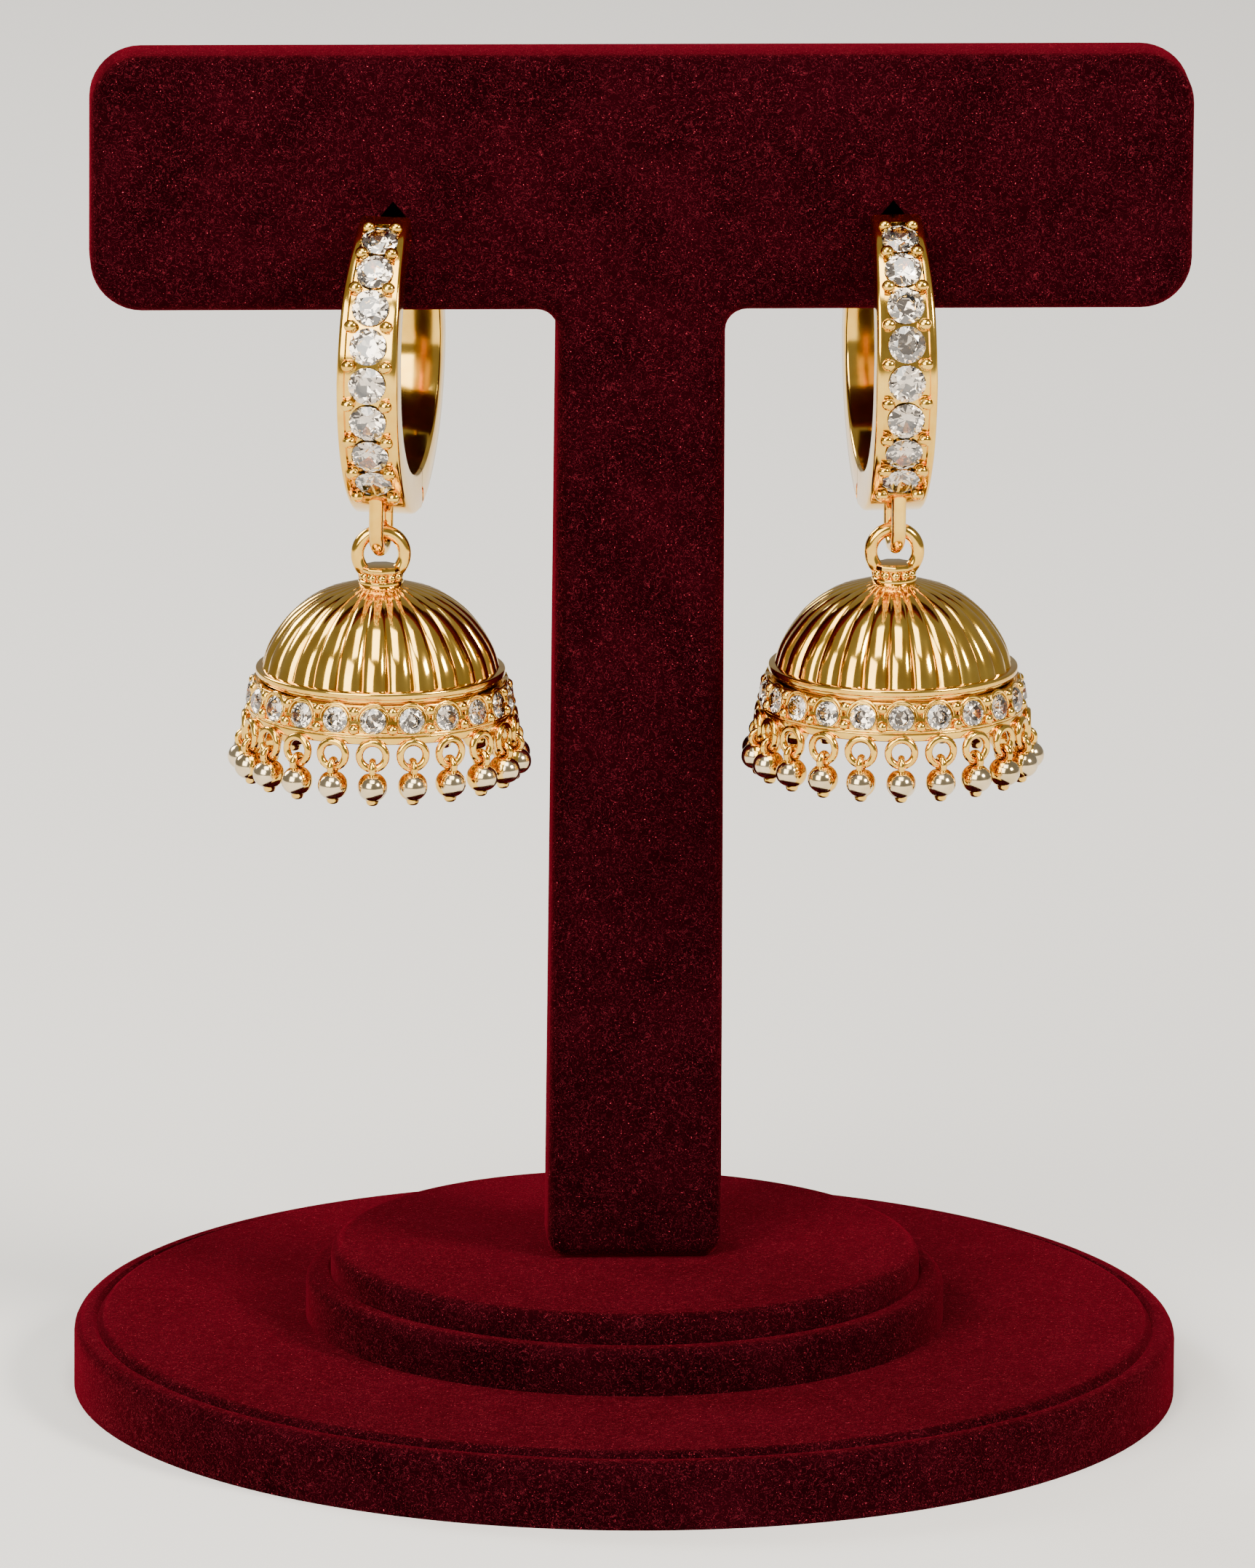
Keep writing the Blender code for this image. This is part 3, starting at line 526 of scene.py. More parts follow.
def dress(piece: Thing, place: Matrix, material: Material, body: str,
          nodes: Sequence[str] = ()) -> None:
    """Bring a finished piece into the frame and tell what it is made of, rides on and stands for.

    Args:
        piece: The piece, in millimetres.
        place: Its place, in millimetres.
        material: Its material.
        body: The body that carries it.
        nodes: The CAD nodes that it stands for.
    """
    move(piece, Matrix.Scale(MM, 4) @ place)
    piece.data.materials.clear()
    piece.data.materials.append(material)
    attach(piece, body)
    if nodes:
        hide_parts(*nodes)
    LOG.info("%s: %d faces, on %s", piece.name, len(piece.data.polygons), body)


# Stand


@dataclass
class Stand:
    """Velvet display stand: a round two-step foot and a T-shaped board. Sizes in millimetres."""

    base_radius: float = 38.0
    base_height: float = 5.0
    base_rim: float = 1.25
    base_groove: float = 0.28
    groove_slope: float = 0.35
    pad_slope: float = 0.45
    pad_rise: float = 0.35
    pad_edge: float = 0.3
    plinth_radius: float = 22.0
    plinth_groove: float = 0.35
    plinth_groove_slope: float = 0.2
    plinth_pad_edge: float = 1.0
    ledge_z: float = 8.2
    pad_radius: float = 20.3
    pad_z: float = 10.15
    foot_edge: float = 0.9
    bar_length: float = 75.0
    bar_height: float = 17.65
    bar_corner: float = 3.5
    board_top_z: float = 94.4
    board_thickness: float = 6.0
    board_front_y: float = -5.2
    board_x: float = 0.4
    board_edge: float = 1.25
    post_top_width: float = 11.4
    post_foot_width: float = 12.0
    post_foot_edge: float = 1.4
    inner_fillet: float = 1.5
    hole_width: float = 2.5
    hole_height: float = 3.0
    hole_depth: float = 4.2
    hole_centre_z: float = 83.0
    post_hole_radius: float = 0.62

    def base(self) -> Thing:
        """Lower disc with a low rim round its raised pad."""
        top = self.base_height - self.pad_rise
        pad = self.base_radius - self.base_rim - self.groove_slope - self.pad_slope
        thing = cylinder("velvet_base", 160, self.base_radius, 0.0, top)
        with editing(thing):
            pick(Pick.FACES, lambda _, normal: normal.z > 0.9)
            bpy.ops.mesh.inset(thickness=self.base_rim)
            bpy.ops.mesh.inset(thickness=self.groove_slope, depth=-self.base_groove)
            bpy.ops.mesh.inset(thickness=self.pad_slope, depth=self.base_groove + self.pad_rise)
            bevel_edges(lambda a, b: min(reach(a), reach(b)) > self.base_radius - 0.1
                        and min(a.z, b.z) > top - 0.01, self.foot_edge, 5)
            bevel_edges(lambda a, b: max(abs(reach(a) - pad), abs(reach(b) - pad)) < 0.02
                        and min(a.z, b.z) > top + 0.01, self.pad_edge, 3)
        return smooth(close_up(thing))

    def plinth(self) -> Thing:
        """Upper disc: a ledge, a groove and a raised pad."""
        thing = cylinder("velvet_plinth", 128, self.plinth_radius, self.base_height, self.ledge_z)
        with editing(thing):
            pick(Pick.FACES, lambda _, normal: normal.z > 0.9)
            bpy.ops.mesh.inset(thickness=self.plinth_radius - self.pad_radius - self.plinth_groove_slope)
            bpy.ops.mesh.inset(thickness=self.plinth_groove_slope, depth=-self.plinth_groove)
            extrude(0.0, 0.0, self.pad_z - self.ledge_z + self.plinth_groove)
            for height, radius, edge in ((self.pad_z, self.pad_radius, self.plinth_pad_edge),
                                         (self.ledge_z, self.plinth_radius, self.foot_edge)):
                bevel_edges(lambda a, b: max(abs(a.z - height), abs(b.z - height)) < 0.01
                            and min(reach(a), reach(b)) > radius - 0.1, edge, 5)
        return smooth(close_up(thing))

    def board(self, earrings: Sequence["Earring"]) -> Thing:
        """T-shaped board with soft edges, pierced behind each hoop.

        Args:
            earrings: The earrings whose posts pass through the board.

        Returns:
            The board.
        """
        foot_z, bar_z = self.pad_z, self.board_top_z - self.bar_height
        half, post = self.bar_length / 2, self.post_top_width / 2
        along = 0.9 * self.board_thickness
        thing = shape("velvet_t_board", bpy.ops.mesh.primitive_plane_add, size=1.0,
                      rotation=(QUARTER, 0.0, 0.0))
        with editing(thing):
            scale(self.post_foot_width, 1.0, bar_z - foot_z)
            shift(0.0, 0.0, (bar_z + foot_z) / 2)
            pick(Pick.VERTS, lambda point, _: point.z > bar_z - 1.0)
            scale(self.post_top_width / self.post_foot_width, 1.0, 1.0)
            pick(Pick.EDGES, lambda a, b: min(a.z, b.z) > bar_z - 1.0)
            extrude(0.0, 0.0, self.bar_height)
            for side in (-1.0, 1.0):
                pick(Pick.EDGES, lambda a, b: min(a.x * side, b.x * side) > 1.0
                     and abs(a.z - b.z) > 1.0 and min(a.z, b.z) > bar_z - 0.1)
                extrude(side * (half - post), 0.0, 0.0)
            select_all()
            extrude(0.0, self.board_thickness, 0.0)
            face_out()
            bpy.ops.mesh.dissolve_limited(angle_limit=0.01)
            bevel_edges(lambda a, b: abs(a.y - b.y) > along
                        and max(abs(a.x), abs(b.x)) > half - 0.1, self.bar_corner, 10)
            bevel_edges(lambda a, b: abs(a.y - b.y) > along and abs(a.z - bar_z) < 0.1
                        and abs(abs(a.x) - post) < 0.1, self.inner_fillet, 6)
            bevel_edges(lambda a, b: abs(a.y - b.y) > along and a.z < foot_z + 0.1,
                        self.post_foot_edge, 5)
            bevel_rims(lambda _, normal: abs(normal.y) > 0.99, self.board_edge, 5)
            select_all()
            shift(self.board_x, self.board_front_y, 0.0)
        close_up(thing)
        for earring in earrings:
            slit = cylinder(f"{earring.side.value}_slit", 4, 1.0, -self.hole_depth, self.hole_depth,
                            rotation=(QUARTER, 0.0, 0.0))
            with editing(slit):
                scale(self.hole_width / 2, 1.0, self.hole_height / 2)
            move(slit, Matrix.Translation((earring.seat.x, self.board_front_y, self.hole_centre_z)))
            hole = earring.hoop.ear_post(f"{earring.side.value}_post_hole", self.post_hole_radius)
            for tool in (slit, move(hole, earring.hoop_place())):
                boolean(thing, tool, "DIFFERENCE")
        return smooth(thing, 30.0)

    def build(self, finishes: Finishes, earrings: Sequence["Earring"]) -> None:
        """Build and dress the stand's three pieces."""
        for piece, node in ((self.base(), "stand_base"), (self.plinth(), "stand_plinth"),
                            (self.board(earrings), "stand_t_board")):
            dress(piece, Matrix.Identity(4), finishes.velvet, "stand", [node])


# Earring


TABLE_SHARE = 0.58


def brilliant(name: str, radius: float, crown: float, girdle: float, pavilion: float) -> Thing:
    """Cut a round brilliant from a cylinder, its girdle's upper edge at height 0 and its table up.

    Args:
        name: The object's name.
        radius: Radius of the girdle in millimetres.
        crown: Height of the crown.
        girdle: Height of the girdle.
        pavilion: Depth of the pavilion.

    Returns:
        The stone, with flat facets.
    """
    table = radius * TABLE_SHARE
    upper, lower = math.atan2(crown, radius - table), math.atan2(pavilion, radius)
    edge, under = Vector((radius, 0.0, 0.0)), Vector((radius, 0.0, -girdle))
    star = Vector((table * math.cos(TURN / 16), 0.0, crown))
    facets = ((0.0, upper, edge, 1.0), (0.0, lower, under, -1.0), (22.5, upper * 0.62, star, 1.0),
              (-11.25, upper * 1.17, edge, 1.0), (-11.25, lower * 1.05, under, -1.0),
              (11.25, upper * 1.17, edge, 1.0), (11.25, lower * 1.05, under, -1.0))
    thing = cylinder(name, 32, radius, -girdle - pavilion, crown)
    with editing(thing):
        for index in range(8):
            for azimuth, slope, through, up in facets:
                turn = turned(45.0 * index + azimuth)
                normal = Vector((math.sin(slope), 0.0, math.cos(slope) * up))
                select_all()
                bpy.ops.mesh.bisect(plane_co=turn @ through, plane_no=turn @ normal, use_fill=True,
                                    clear_outer=True, threshold=1e-5)
    close_up(thing)
    take(thing)
    bpy.ops.object.shade_flat()
    return thing


@dataclass
class Hoop:
    """Hinged hoop with a stone-set front half, a plain back arm and a soldered loop. Sizes in millimetres.

    X runs across the hoop, Y from its front to its back and Z up.
    """

    depth_radius: float = 9.6
    height_radius: float = 10.6
    side_wall: float = 1.9
    top_wall: float = 1.85
    foot_wall: float = 2.8
    width: float = 4.2
    top_reach: float = 2.35
    back_reach: float = 5.16
    rim: float = 0.26
    seam: float = 0.1
    barrel_radius: float = 0.7
    barrel_back: float = 0.8
    barrel_z: float = -10.0
    post_radius: float = 0.4
    post_reach: float = 0.7
    stone_radius: float = 1.27
    stone_angles: tuple[float, ...] = (60.5, 44.88, 29.67, 14.77, 0.04, -14.69, -29.59, -44.81)
    channel_margin: float = 10.0
    rail: float = 0.24
    floor_depth: float = 0.34
    prong_radius: float = 0.48
    loop_radius: float = 1.4
    loop_wire: float = 0.5
    loop_forward: float = 3.6
    loop_drop: float = 1.9
    loop_turn: float = 4.0

    def width_share(self, height: float) -> float:
        """Share of the full width at a height above the hoop's centre."""
        table = ((-1.0, 0.95), (-0.5, 0.99), (0.0, 1.0), (0.5, 0.95), (1.0, 0.8))
        share = max(-1.0, min(1.0, height / self.height_radius))
        for (low, low_width), (high, high_width) in zip(table, table[1:]):
            if share <= high:
                return low_width + (high_width - low_width) * (share - low) / (high - low)
        return table[-1][1]

    def on_face(self, degrees: float, depth: float = 0.0) -> Vector:
        """Point on the outer face at an angle above straight ahead, sunk by a depth."""
        angle = math.radians(degrees)
        point = Vector((0.0, -self.depth_radius * math.cos(angle), self.height_radius * math.sin(angle)))
        return point - self.outward(degrees) * depth

    def outward(self, degrees: float) -> Vector:
        """Outward normal of the outer face at an angle above straight ahead."""
        angle = math.radians(degrees)
        return Vector((0.0, -math.cos(angle) / self.depth_radius,
                       math.sin(angle) / self.height_radius)).normalized()

    def facing(self, degrees: float, across: float = 0.0, depth: float = 0.0) -> Matrix:
        """Place on the outer face whose Z axis points outwards and whose X axis runs across the hoop."""
        out = self.outward(degrees)
        side = Vector((1.0, 0.0, 0.0))
        turn = Matrix((side, out.cross(side), out)).transposed().to_4x4()
        return Matrix.Translation(self.on_face(degrees, depth) + side * across) @ turn

    @property
    def barrel_centre(self) -> Vector:
        """Centre of the hinge barrel."""
        drop = self.height_radius * math.sqrt(1 - (self.barrel_back / self.depth_radius) ** 2)
        return Vector((0.0, self.barrel_back, self.barrel_radius - drop))

    def blank(self, name: str) -> Thing:
        """Whole hoop: an oval ring, narrower at the top and with softened rims."""
        inner_depth = self.depth_radius - self.side_wall
        inner_up = self.height_radius - self.top_wall
        inner_down = self.height_radius - self.foot_wall
        thing = shape(name, bpy.ops.mesh.primitive_circle_add, vertices=192, radius=1.0,
                      fill_type="NOTHING", rotation=(0.0, QUARTER, 0.0))
        with editing(thing):
            scale(1.0, self.depth_radius, self.height_radius)
            extrude(0.0, 0.0, 0.0)
            scale(1.0, inner_depth / self.depth_radius, inner_up / self.height_radius)
            pick(Pick.VERTS, lambda point, _: point.z < -1e-4
                 and (point.y / inner_depth) ** 2 + (point.z / inner_up) ** 2 < 1.01)
            scale(1.0, 1.0, inner_down / inner_up)
            select_all()
            shift(self.width / 2, 0.0, 0.0)
            extrude(-self.width, 0.0, 0.0)
            heights = {round(vert.co.z, 4) for vert in bmesh.from_edit_mesh(thing.data).verts}
            for height in sorted(heights):
                pick(Pick.VERTS, lambda point, _: abs(point.z - height) < 6e-5)
                scale(self.width_share(height), 1.0, 1.0)
            face_out()
            bevel_rims(lambda _, normal: abs(normal.x) > 0.9, self.rim, 3)
        return thing

    def cut(self, thing: Thing, depth: float, upper: bool, keep_front: bool) -> None:
        """Cut the upper or the lower half of the hoop across at a depth, and close the cut."""
        with editing(thing):
            pick(Pick.FACES, lambda point, _: (point.z > 0.0) is upper)
            bpy.ops.mesh.bisect(plane_co=(0.0, depth, 0.0), plane_no=(0.0, 1.0, 0.0), use_fill=True,
                                clear_outer=keep_front, clear_inner=not keep_front, threshold=1e-5)

    def bar_tool(self, name: str, radius: float, width: float) -> Thing:
        """Round bar across the hoop, used to fuse on the barrel or to cut its socket."""
        tool = shape(name, bpy.ops.mesh.primitive_cylinder_add, vertices=40, radius=radius, depth=width,
                     location=self.barrel_centre, rotation=(0.0, QUARTER, 0.0))
        with editing(tool):
            bevel_rims(lambda _, normal: abs(normal.x) > 0.9, 0.12, 2)
        return tool

    def ear_post(self, name: str, radius: float, longer: float = 0.0) -> Thing:
        """Ear post from the front half's end towards the back arm, with a rounded tip."""
        start = Vector((0.0, -self.top_reach - 0.6, 9.14))
        end = Vector((0.0, self.back_reach + self.post_reach + longer, 7.4 - 0.21 * longer))
        along = end - start
        tool = cylinder(name, 24, radius, -along.length / 2, along.length / 2)
        with editing(tool):
            bevel_rims(lambda _, normal: normal.z > 0.9, radius * 0.7, 4)
        turn = along.to_track_quat("Z", "Y").to_matrix().to_4x4()
        return move(tool, Matrix.Translation((start + end) / 2) @ turn)

    def soldered_loop(self, side: Side) -> Thing:
        """Loop of wire under the front half, its two ends sunk in the hoop's foot."""
        loop = wire_ring("loop", self.loop_radius, self.loop_wire, 28, 16, math.pi)
        with editing(loop):
            pick(Pick.FACES, lambda point, normal: normal.z > 0.9 and point.z > -0.05)
            extrude(0.0, 0.0, 2.4)
        foot = -self.height_radius - self.loop_drop + self.loop_radius
        lean = -self.loop_turn if side is Side.LEFT else self.loop_turn
        return close_up(move(loop, Matrix.Translation((0.0, -self.loop_forward, foot)) @ turned(90.0 + lean)))

    def front(self, side: Side) -> Thing:
        """Front half with its channel, stone seats, hinge barrel, ear post and loop."""
        thing = self.blank(f"{side.value}_hoop_setting")
        self.cut(thing, -self.top_reach, upper=True, keep_front=True)
        self.cut(thing, self.barrel_back, upper=False, keep_front=True)
        first = self.stone_angles[0] + self.channel_margin
        last = self.stone_angles[-1] - self.channel_margin

        def in_channel(point: Vector, normal: Vector) -> bool:
            """Tell whether a face lies on the outer face between the channel's ends."""
            ahead, up = -point.y / self.depth_radius, point.z / self.height_radius
            return (abs(normal.x) < 0.05 and math.hypot(ahead, up) > 0.99
                    and last < math.degrees(math.atan2(up, ahead)) < first)

        with editing(thing):
            pick(Pick.FACES, in_channel)
            bpy.ops.mesh.inset(thickness=self.rail)
            bpy.ops.mesh.inset(thickness=0.05, depth=-self.floor_depth)
        close_up(thing)
        barrel_width = self.width * self.width_share(self.barrel_z) - 0.02
        boolean(thing, self.bar_tool("barrel", self.barrel_radius, barrel_width), "UNION")
        boolean(thing, self.ear_post("ear_post", self.post_radius), "UNION")
        seat = shape("stone_seat", bpy.ops.mesh.primitive_cone_add, vertices=24, radius1=0.12,
                     radius2=self.stone_radius, depth=1.2, location=(0.0, 0.0, -0.5 - self.floor_depth))
        seats = repeated("stone_seats", seat, [self.facing(angle) for angle in self.stone_angles])
        boolean(thing, seats, "DIFFERENCE")
        boolean(thing, self.soldered_loop(side), "UNION")
        return smooth(thing, 34.0)

    def back(self, side: Side) -> Thing:
        """Back arm with its hinge socket and the hole that catches the ear post."""
        thing = self.blank(f"{side.value}_hoop_arm")
        self.cut(thing, self.back_reach, upper=True, keep_front=False)
        self.cut(thing, self.barrel_back + self.seam, upper=False, keep_front=False)
        socket = self.bar_tool("socket", self.barrel_radius + self.seam, self.width * 1.5)
        for tool in (socket, self.ear_post("catch", self.post_radius + 0.12, 0.2)):
            boolean(thing, tool, "DIFFERENCE")
        return smooth(thing, 34.0)

    def prongs(self, side: Side) -> Thing:
        """Raised beads in pairs between neighbouring stones and at both ends of the row."""
        grain = ball("prong", 20, 12, self.prong_radius)
        with editing(grain):
            scale(1.0, 0.92, 1.15)
            pick(Pick.VERTS, lambda point, _: point.z > self.prong_radius * 0.95)
            scale(1.0, 1.0, 0.9)
        step = self.stone_angles[0] - self.stone_angles[1]
        rows = [self.stone_angles[0] + step / 2 - 1.0]
        rows += [(a + b) / 2 for a, b in zip(self.stone_angles, self.stone_angles[1:])]
        rows.append(self.stone_angles[-1] - step / 2)
        places = []
        for angle in rows:
            across = self.width * self.width_share(self.on_face(angle).z) / 2 - 0.8
            places += [self.facing(angle, sign * across, self.floor_depth * 0.15) for sign in (-1.0, 1.0)]
        return smooth(repeated(f"{side.value}_hoop_prongs", grain, places), 60.0)

    def stones(self, side: Side) -> Thing:
        """Eight brilliants in the channel, each turned a little differently about its own axis."""
        crown = 0.36
        stone = brilliant("hoop_stone", self.stone_radius, crown, 0.06, 1.02)
        first = 0.0 if side is Side.LEFT else 9.0
        places = [self.facing(angle, 0.0, crown - 0.2) @ turned(17.0 * index + first)
                  for index, angle in enumerate(self.stone_angles)]
        return repeated(f"{side.value}_hoop_stones", stone, places)


@dataclass
class Bell:
    """Fluted bell with its ring, collar, stone band and bead fringe. Sizes in millimetres.

    Heights are measured from the swing axis, which is the centre of the ring's upper wire.
    """

    ring_radius: float = 1.6
    ring_wire: float = 0.46
    collar_foot: float = -3.6
    dome_top: float = -3.5
    dome_height: float = 5.95
    dome_radius: float = 8.12
    dome_wall: float = 0.5
    dome_rows: int = 18
    flutes: int = 27
    petal: tuple[float, ...] = (0.4, 0.2, 0.09, 0.035, 0.01, 0.0, 0.01, 0.035, 0.09, 0.2)
    flange_radius: float = 8.52
    flange_height: float = 0.45
    band_top_radius: float = 8.6
    band_foot_radius: float = 8.95
    band_top: float = -10.22
    band_height: float = 2.08
    stones: int = 21
    band_stone_radius: float = 0.88
    band_bead_radius: float = 0.39
    fringe_radius: float = 9.2
    fringe_ring: float = 0.9
    fringe_wire: float = 0.265
    fringe_ring_z: float = -13.56
    bead_radius: float = 1.02
    bead_drop: float = 2.16
    cap_radius: float = 0.95
    cap_shift: float = 0.24
    turn: float = 0.0

    def dome_share(self, share: float) -> float:
        """Share of the dome's radius at a share of its height, on a smooth curve."""
        table = ((0.0, 1.0), (0.22, 0.95), (0.45, 0.85), (0.68, 0.7), (0.88, 0.47), (1.0, 0.16))
        slopes = []
        for index in range(len(table)):
            low = table[max(0, index - 1)]
            high = table[min(len(table) - 1, index + 1)]
            slopes.append((high[1] - low[1]) / (high[0] - low[0]))
        for index, ((low, start), (high, end)) in enumerate(zip(table, table[1:])):
            if share <= high:
                span = high - low
                t = (share - low) / span
                near, far = (1 - t) ** 2, t ** 2
                return (near * ((1 + 2 * t) * start + t * span * slopes[index])
                        + far * ((3 - 2 * t) * end + (t - 1) * span * slopes[index + 1]))
        return table[-1][1]

    def dome(self, side: Side) -> Thing:
        """Dome of broad petals with narrow grooves between them, over a round flange."""
        foot = self.dome_top - self.dome_height
        columns = self.flutes * len(self.petal)
        thing = shape("dome", bpy.ops.mesh.primitive_circle_add, vertices=columns,
                      radius=self.dome_radius, fill_type="NOTHING", location=(0.0, 0.0, foot))
        with editing(thing):
            before = 1.0
            for row in range(1, self.dome_rows + 1):
                radius = self.dome_share(row / self.dome_rows)
                extrude(0.0, 0.0, self.dome_height / self.dome_rows)
                scale(radius / before, radius / before, 1.0)
                before = radius
            bpy.ops.mesh.edge_face_add()
            for index, depth in enumerate(self.petal):
                if depth:
                    pick(Pick.VERTS, lambda point, _: round(
                        math.atan2(point.x, point.y) / TURN * columns) % len(self.petal) == index)
                    ratio = 1 - depth / self.dome_radius
                    scale(ratio, ratio, 1.0)
            face_out()
        modify(thing, "SOLIDIFY", thickness=self.dome_wall, offset=-1.0)
        smooth(thing, 28.0)
        low = foot - self.flange_height
        flange = turned_bar("flange", self.dome_radius - 0.6, self.flange_radius, low, foot + 0.06, 0.16)
        line = turned_bar("flange_line", self.dome_radius - 0.7, self.flange_radius - 0.25,
                          low - 0.22, low + 0.05, 0.05)
        return joined(f"{side.value}_fluted_dome", [thing, smooth(flange, 50.0), smooth(line, 50.0)])

    def ring(self, side: Side) -> Thing:
        """Hanging ring on a faceted two-step collar."""
        ring = wire_ring("ring", self.ring_radius, self.ring_wire, 64, 20)
        smooth(move(ring, Matrix.Translation((0.0, 0.0, -self.ring_radius))), 60.0)
        grain = smooth(ball("collar_grain", 16, 10, 0.34), 60.0)
        parts = [ring, repeated("collar_grains", grain, ring_places(11, 1.22, self.collar_foot + 0.5))]
        for name, sides, radius, low, high, edge in (
                ("collar_foot", 40, 1.55, -0.12, 0.3, 0.12),
                ("collar_waist", 24, 1.15, 0.2, 0.9, 0.1),
                ("collar_head", 9, 1.42, 0.72, 1.22, 0.2)):
            step = cylinder(name, sides, radius, self.collar_foot + low, self.collar_foot + high,
                            rotation=(0.0, 0.0, math.pi / sides))
            with editing(step):
                bevel_rims(lambda _, normal: abs(normal.z) > 0.9, edge, 3)
            parts.append(smooth(step, 24.0))
        return joined(f"{side.value}_bell_ring", parts)

    def facing_out(self, drop: float, proud: float = 0.0, first: float = -90.0) -> list[Matrix]:
        """Places round the band's face, one for each stone, whose Z axis points outwards."""
        flare = self.band_foot_radius - self.band_top_radius
        tilt = Matrix.Rotation(QUARTER - math.atan2(flare, self.band_height), 4, "X")
        radius = self.band_top_radius + flare * drop / self.band_height + proud
        return [place @ tilt for place in ring_places(self.stones, radius, self.band_top - drop, first)]

    def band(self, side: Side) -> Thing:
        """Gold band: flared wall, two edge wires, a collet round each stone and paired beads between."""
        low = self.band_top - self.band_height
        middle = self.facing_out(self.band_height / 2)
        wall = turned_bar("wall", self.band_foot_radius - 1.15, self.band_foot_radius - 0.1, low,
                          self.band_top, 0.12, lean=self.band_foot_radius - self.band_top_radius)
        seat = shape("band_seat", bpy.ops.mesh.primitive_cone_add, vertices=24, radius1=0.2,
                     radius2=self.band_stone_radius, depth=0.9, location=(0.0, 0.0, -0.4))
        boolean(wall, repeated("band_seats", seat, middle), "DIFFERENCE")
        parts = [smooth(wall, 40.0)]
        for name, radius, height in (("upper_wire", self.band_top_radius, self.band_top - 0.11),
                                     ("lower_wire", self.band_foot_radius + 0.02, low + 0.12)):
            wire = turned_bar(name, radius - 0.3, radius + 0.1, height - 0.11, height + 0.11, 0.08)
            parts.append(smooth(wire, 50.0))
        collet = turned_bar("collet", self.band_stone_radius - 0.06, self.band_stone_radius + 0.1,
                            -0.3, 0.06, 0.05, 32)
        parts.append(repeated("collets", smooth(collet, 50.0), middle))
        arch = move(wire_ring("arch", 1.12, 0.12, 16, 8, math.pi), turned(90.0, "X"))
        parts.append(repeated("arches", smooth(arch, 60.0), middle))
        grain = ball("band_bead", 16, 10, self.band_bead_radius)
        with editing(grain):
            scale(1.0, 1.0, 0.9)
        places = []
        for rise in (0.6, -0.6):
            places += self.facing_out(self.band_height / 2 - rise, 0.02, 180.0 / self.stones - 90.0)
        parts.append(repeated("band_beads", smooth(grain, 60.0), places))
        return joined(f"{side.value}_band_setting", parts)

    def band_stones(self, side: Side) -> Thing:
        """Brilliants in the band's collets, each turned differently about its own axis."""
        stone = brilliant("band_stone", self.band_stone_radius, 0.26, 0.05, 0.7)
        places = [place @ turned(31.0 * index)
                  for index, place in enumerate(self.facing_out(self.band_height / 2, 0.08))]
        return repeated(f"{side.value}_band_stones", stone, places)

    def drop_wire(self) -> Thing:
        """Gold of one drop: its eye, its shank, the ball's back and the knob under it."""
        eye = wire_ring("eye", 0.5, 0.24, 22, 10)
        move(eye, Matrix.Translation((0.0, 0.0, -self.fringe_ring)) @ turned(90.0))
        shank = cylinder("shank", 14, 0.3, self.bead_radius * 0.8 - self.bead_drop, -self.fringe_ring - 0.45)
        foot = -self.bead_drop - self.bead_radius
        knob = cylinder("knob", 16, 0.42, foot - 0.27, foot + 0.23)
        with editing(knob):
            bevel_rims(lambda _, normal: normal.z < -0.9, 0.26, 4)
            pick(Pick.VERTS, lambda point, _: point.z > foot + 0.1)
            scale(1.25, 1.25, 1.0)
        centre = (0.0, 0.0, -self.bead_drop)
        sphere = ball("ball", 24, 16, self.bead_radius, centre)
        with editing(sphere):
            pick(Pick.FACES, lambda _, normal: abs(normal.z) > 0.93)
            scale(1.0, 1.0, 0.94, centre)
        return smooth(joined("drop_wire", [eye, shank, knob, sphere]), 50.0)

    def fringe(self, side: Side) -> tuple[Thing, Thing]:
        """Bead fringe: gold rings, eyes and knobs in one piece, and the pale beads in another.

        Args:
            side: The earring's side.

        Returns:
            The gold wirework and the beads.
        """
        gallery = turned_bar("gallery", self.fringe_radius - 0.75, self.fringe_radius - 0.2,
                             self.fringe_ring_z + self.fringe_ring - 0.2,
                             self.band_top - self.band_height + 0.05, 0.1)
        places = ring_places(self.stones, self.fringe_radius, self.fringe_ring_z)
        ring = smooth(wire_ring("fringe_ring", self.fringe_ring, self.fringe_wire, 32, 10), 60.0)
        wires = joined(f"{side.value}_fringe_wirework",
                       [smooth(gallery, 50.0), repeated("fringe_rings", ring, places),
                        repeated("drop_wires", self.drop_wire(), places)])
        centre = (0.0, -self.cap_shift, -self.bead_drop)
        bead = ball("bead", 28, 18, self.cap_radius, centre)
        with editing(bead):
            scale(1.0, 1.0, 0.97, centre)
        return wires, repeated(f"{side.value}_fringe_beads", smooth(bead, 60.0), places)


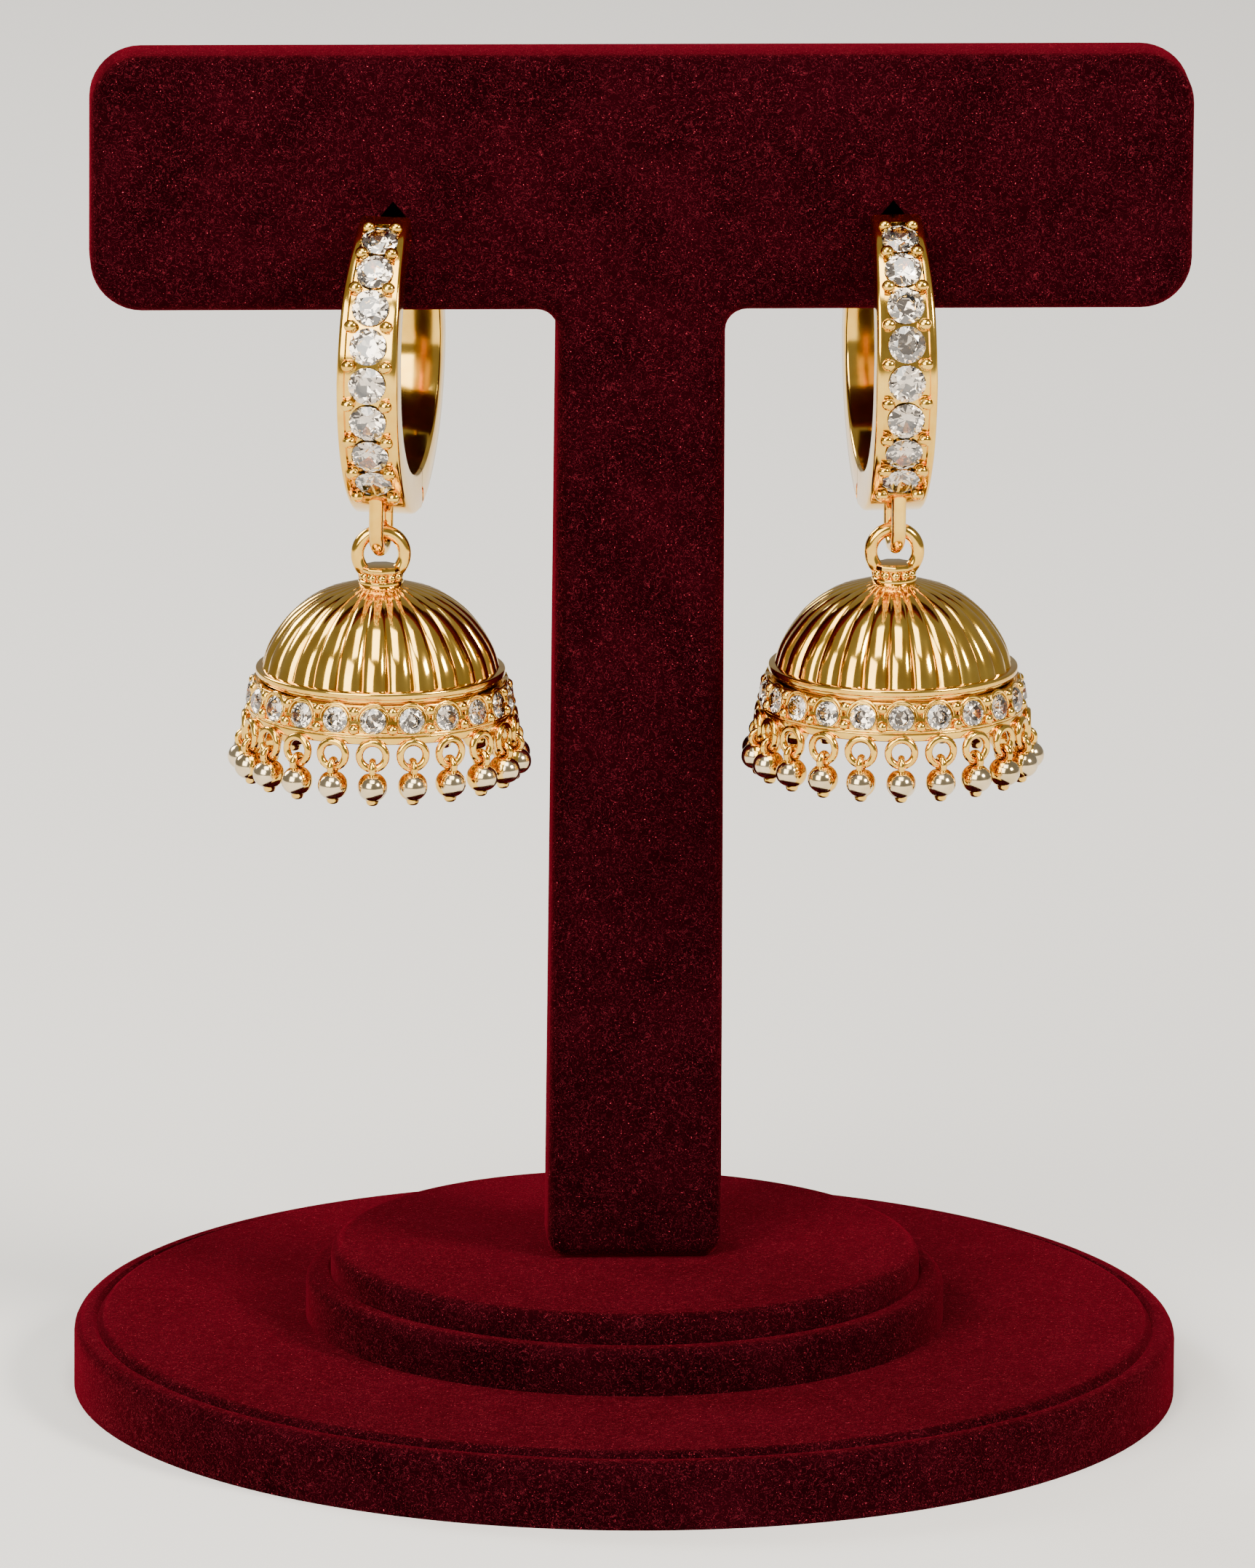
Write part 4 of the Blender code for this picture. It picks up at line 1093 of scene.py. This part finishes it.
@dataclass
class Earring:
    """One earring of the pair, set in the frame from its own joints."""

    side: Side
    hoop: Hoop
    bell: Bell

    def __post_init__(self) -> None:
        """Read where the hoop and the bell are from the frame's joints."""
        joints = {joint["name"]: joint for joint in frame["joints"]}
        hinge = joints[f"{self.side.value}_hoop_hinge"]
        swing = joints[f"{self.side.value}_bell_swing"]
        across = -Vector(hinge["axis"])
        self.turn = math.atan2(across.y, across.x)
        turn = Matrix.Rotation(self.turn, 3, "Z")
        self.seat = Vector(hinge["pos_m"]) / MM - turn @ self.hoop.barrel_centre
        self.hang = Vector(swing["pos_m"]) / MM

    def hoop_place(self) -> Matrix:
        """Place of the hoop, in millimetres."""
        return Matrix.Translation(self.seat) @ Matrix.Rotation(self.turn, 4, "Z")

    def build(self, finishes: Finishes) -> None:
        """Build and dress the earring's pieces."""
        name, side, hoop, bell = self.side.value, self.side, self.hoop, self.bell
        stones = [f"{name}_hoop_stone_{index + 1}" for index in range(len(hoop.stone_angles))]
        for piece, material, body, slot, nodes in (
                (hoop.front(side), finishes.gold, "stand", "gold", [f"{name}_hoop_front"]),
                (hoop.prongs(side), finishes.gold, "stand", "gold", []),
                (hoop.stones(side), finishes.stone, "stand", "clear_stone", stones),
                (hoop.back(side), finishes.gold, f"{name}_hoop_back", "gold", [f"{name}_hoop_back"])):
            dress(piece, self.hoop_place(), material, body, nodes)
        wires, beads = bell.fringe(side)
        hang = Matrix.Translation(self.hang)
        turn = hang @ turned(bell.turn)
        for piece, place, material, slot, nodes in (
                (bell.dome(side), turn, finishes.gold, "gold", [f"{name}_bell_dome"]),
                (bell.ring(side), hang, finishes.gold, "gold", []),
                (bell.band(side), turn, finishes.gold, "gold", [f"{name}_stone_band"]),
                (bell.band_stones(side), turn, finishes.stone, "clear_stone", []),
                (wires, turn, finishes.gold, "gold", [f"{name}_bead_fringe"]),
                (beads, turn, finishes.bead, "beads", [])):
            dress(piece, place, material, f"{name}_bell", nodes)


# Studio


@dataclass
class Studio:
    """Floor, lights and camera round the stand. Sizes in metres."""

    azimuth: float = -3.14
    elevation: float = 13.36
    roll: float = 0.46
    distance: float = 1.3
    target: Point = (-0.00008, 0.0, 0.04257)
    view_width: float = 0.08613
    sensor_mm: float = 36.0
    floor_size: float = 6.0
    lit_point: Point = (0.0, 0.0, 0.055)
    surround: str = "#E6E3DF"
    surround_strength: float = 0.36

    def floor(self, finishes: Finishes) -> None:
        """Pale sheet of paper that the stand rests on."""
        paper = shape("studio_floor", bpy.ops.mesh.primitive_grid_add, x_subdivisions=2,
                      y_subdivisions=2, size=self.floor_size)
        paper.data.materials.append(finishes.paper)

    def light(self, name: str, place: Point, size: float, power: float,
              colour: str) -> None:
        """Add a square soft light that faces the earrings."""
        clear_bench()
        bpy.ops.object.light_add(type="AREA", location=place)
        lamp = bpy.context.object
        lamp.name = name
        lamp.data.size = size
        lamp.data.energy = power
        lamp.data.color = linear(colour)[:3]
        lamp.rotation_euler = (Vector(self.lit_point) - Vector(place)).to_track_quat("-Z", "Y").to_euler()

    def lights(self) -> None:
        """Pale surround, a key at the right, softboxes at the left and overhead, and a rim light."""
        self.light("key", (0.62, -0.45, 0.55), 0.24, 11.0, "#FFF8F0")
        self.light("softbox", (-0.5, -0.75, 0.5), 0.65, 12.0, "#FFFCF2")
        self.light("overhead", (-0.05, -0.4, 0.95), 0.55, 9.0, "#FFFCF2")
        self.light("rim", (-0.5, 0.45, 0.45), 0.3, 5.0, "#FFFFFF")
        world = bpy.data.worlds.new("studio_surround")
        world.use_nodes = True
        inputs = world.node_tree.nodes["Background"].inputs
        inputs["Color"].default_value = linear(self.surround)
        inputs["Strength"].default_value = self.surround_strength
        bpy.context.scene.world = world

    def camera(self) -> None:
        """Long-lens camera at the photograph's angle, a little left of the stand's front."""
        turn, rise = math.radians(self.azimuth), math.radians(self.elevation)
        back = Vector((math.sin(turn) * math.cos(rise), -math.cos(turn) * math.cos(rise), math.sin(rise)))
        clear_bench()
        bpy.ops.object.camera_add(location=Vector(self.target) + back * self.distance)
        camera = bpy.context.object
        camera.name = "photo_camera"
        level = Quaternion((0.0, 0.0, 1.0), math.radians(self.roll))
        camera.rotation_euler = ((-back).to_track_quat("-Z", "Y") @ level).to_euler()
        camera.data.sensor_fit = "HORIZONTAL"
        camera.data.sensor_width = self.sensor_mm
        camera.data.lens = self.sensor_mm * self.distance / self.view_width
        camera.data.clip_start = 0.05
        camera.data.clip_end = 20.0
        bpy.context.scene.camera = camera

    def build(self, finishes: Finishes) -> None:
        """Set up the camera, the floor and the lights."""
        self.camera()
        self.floor(finishes)
        self.lights()


def main() -> None:
    """Build every piece and dress it, logging each piece's face count as it is dressed."""
    logging.basicConfig(level=logging.INFO, format="%(name)s: %(message)s")
    clear_bench()
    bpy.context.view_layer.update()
    finishes = Finishes.built()
    Studio().build(finishes)
    pair = [Earring(Side.LEFT, Hoop(), Bell(turn=-5.5)), Earring(Side.RIGHT, Hoop(), Bell())]
    Stand().build(finishes, pair)
    for earring in pair:
        earring.build(finishes)
    clear_bench()


if __name__ == "__main__":
    main()
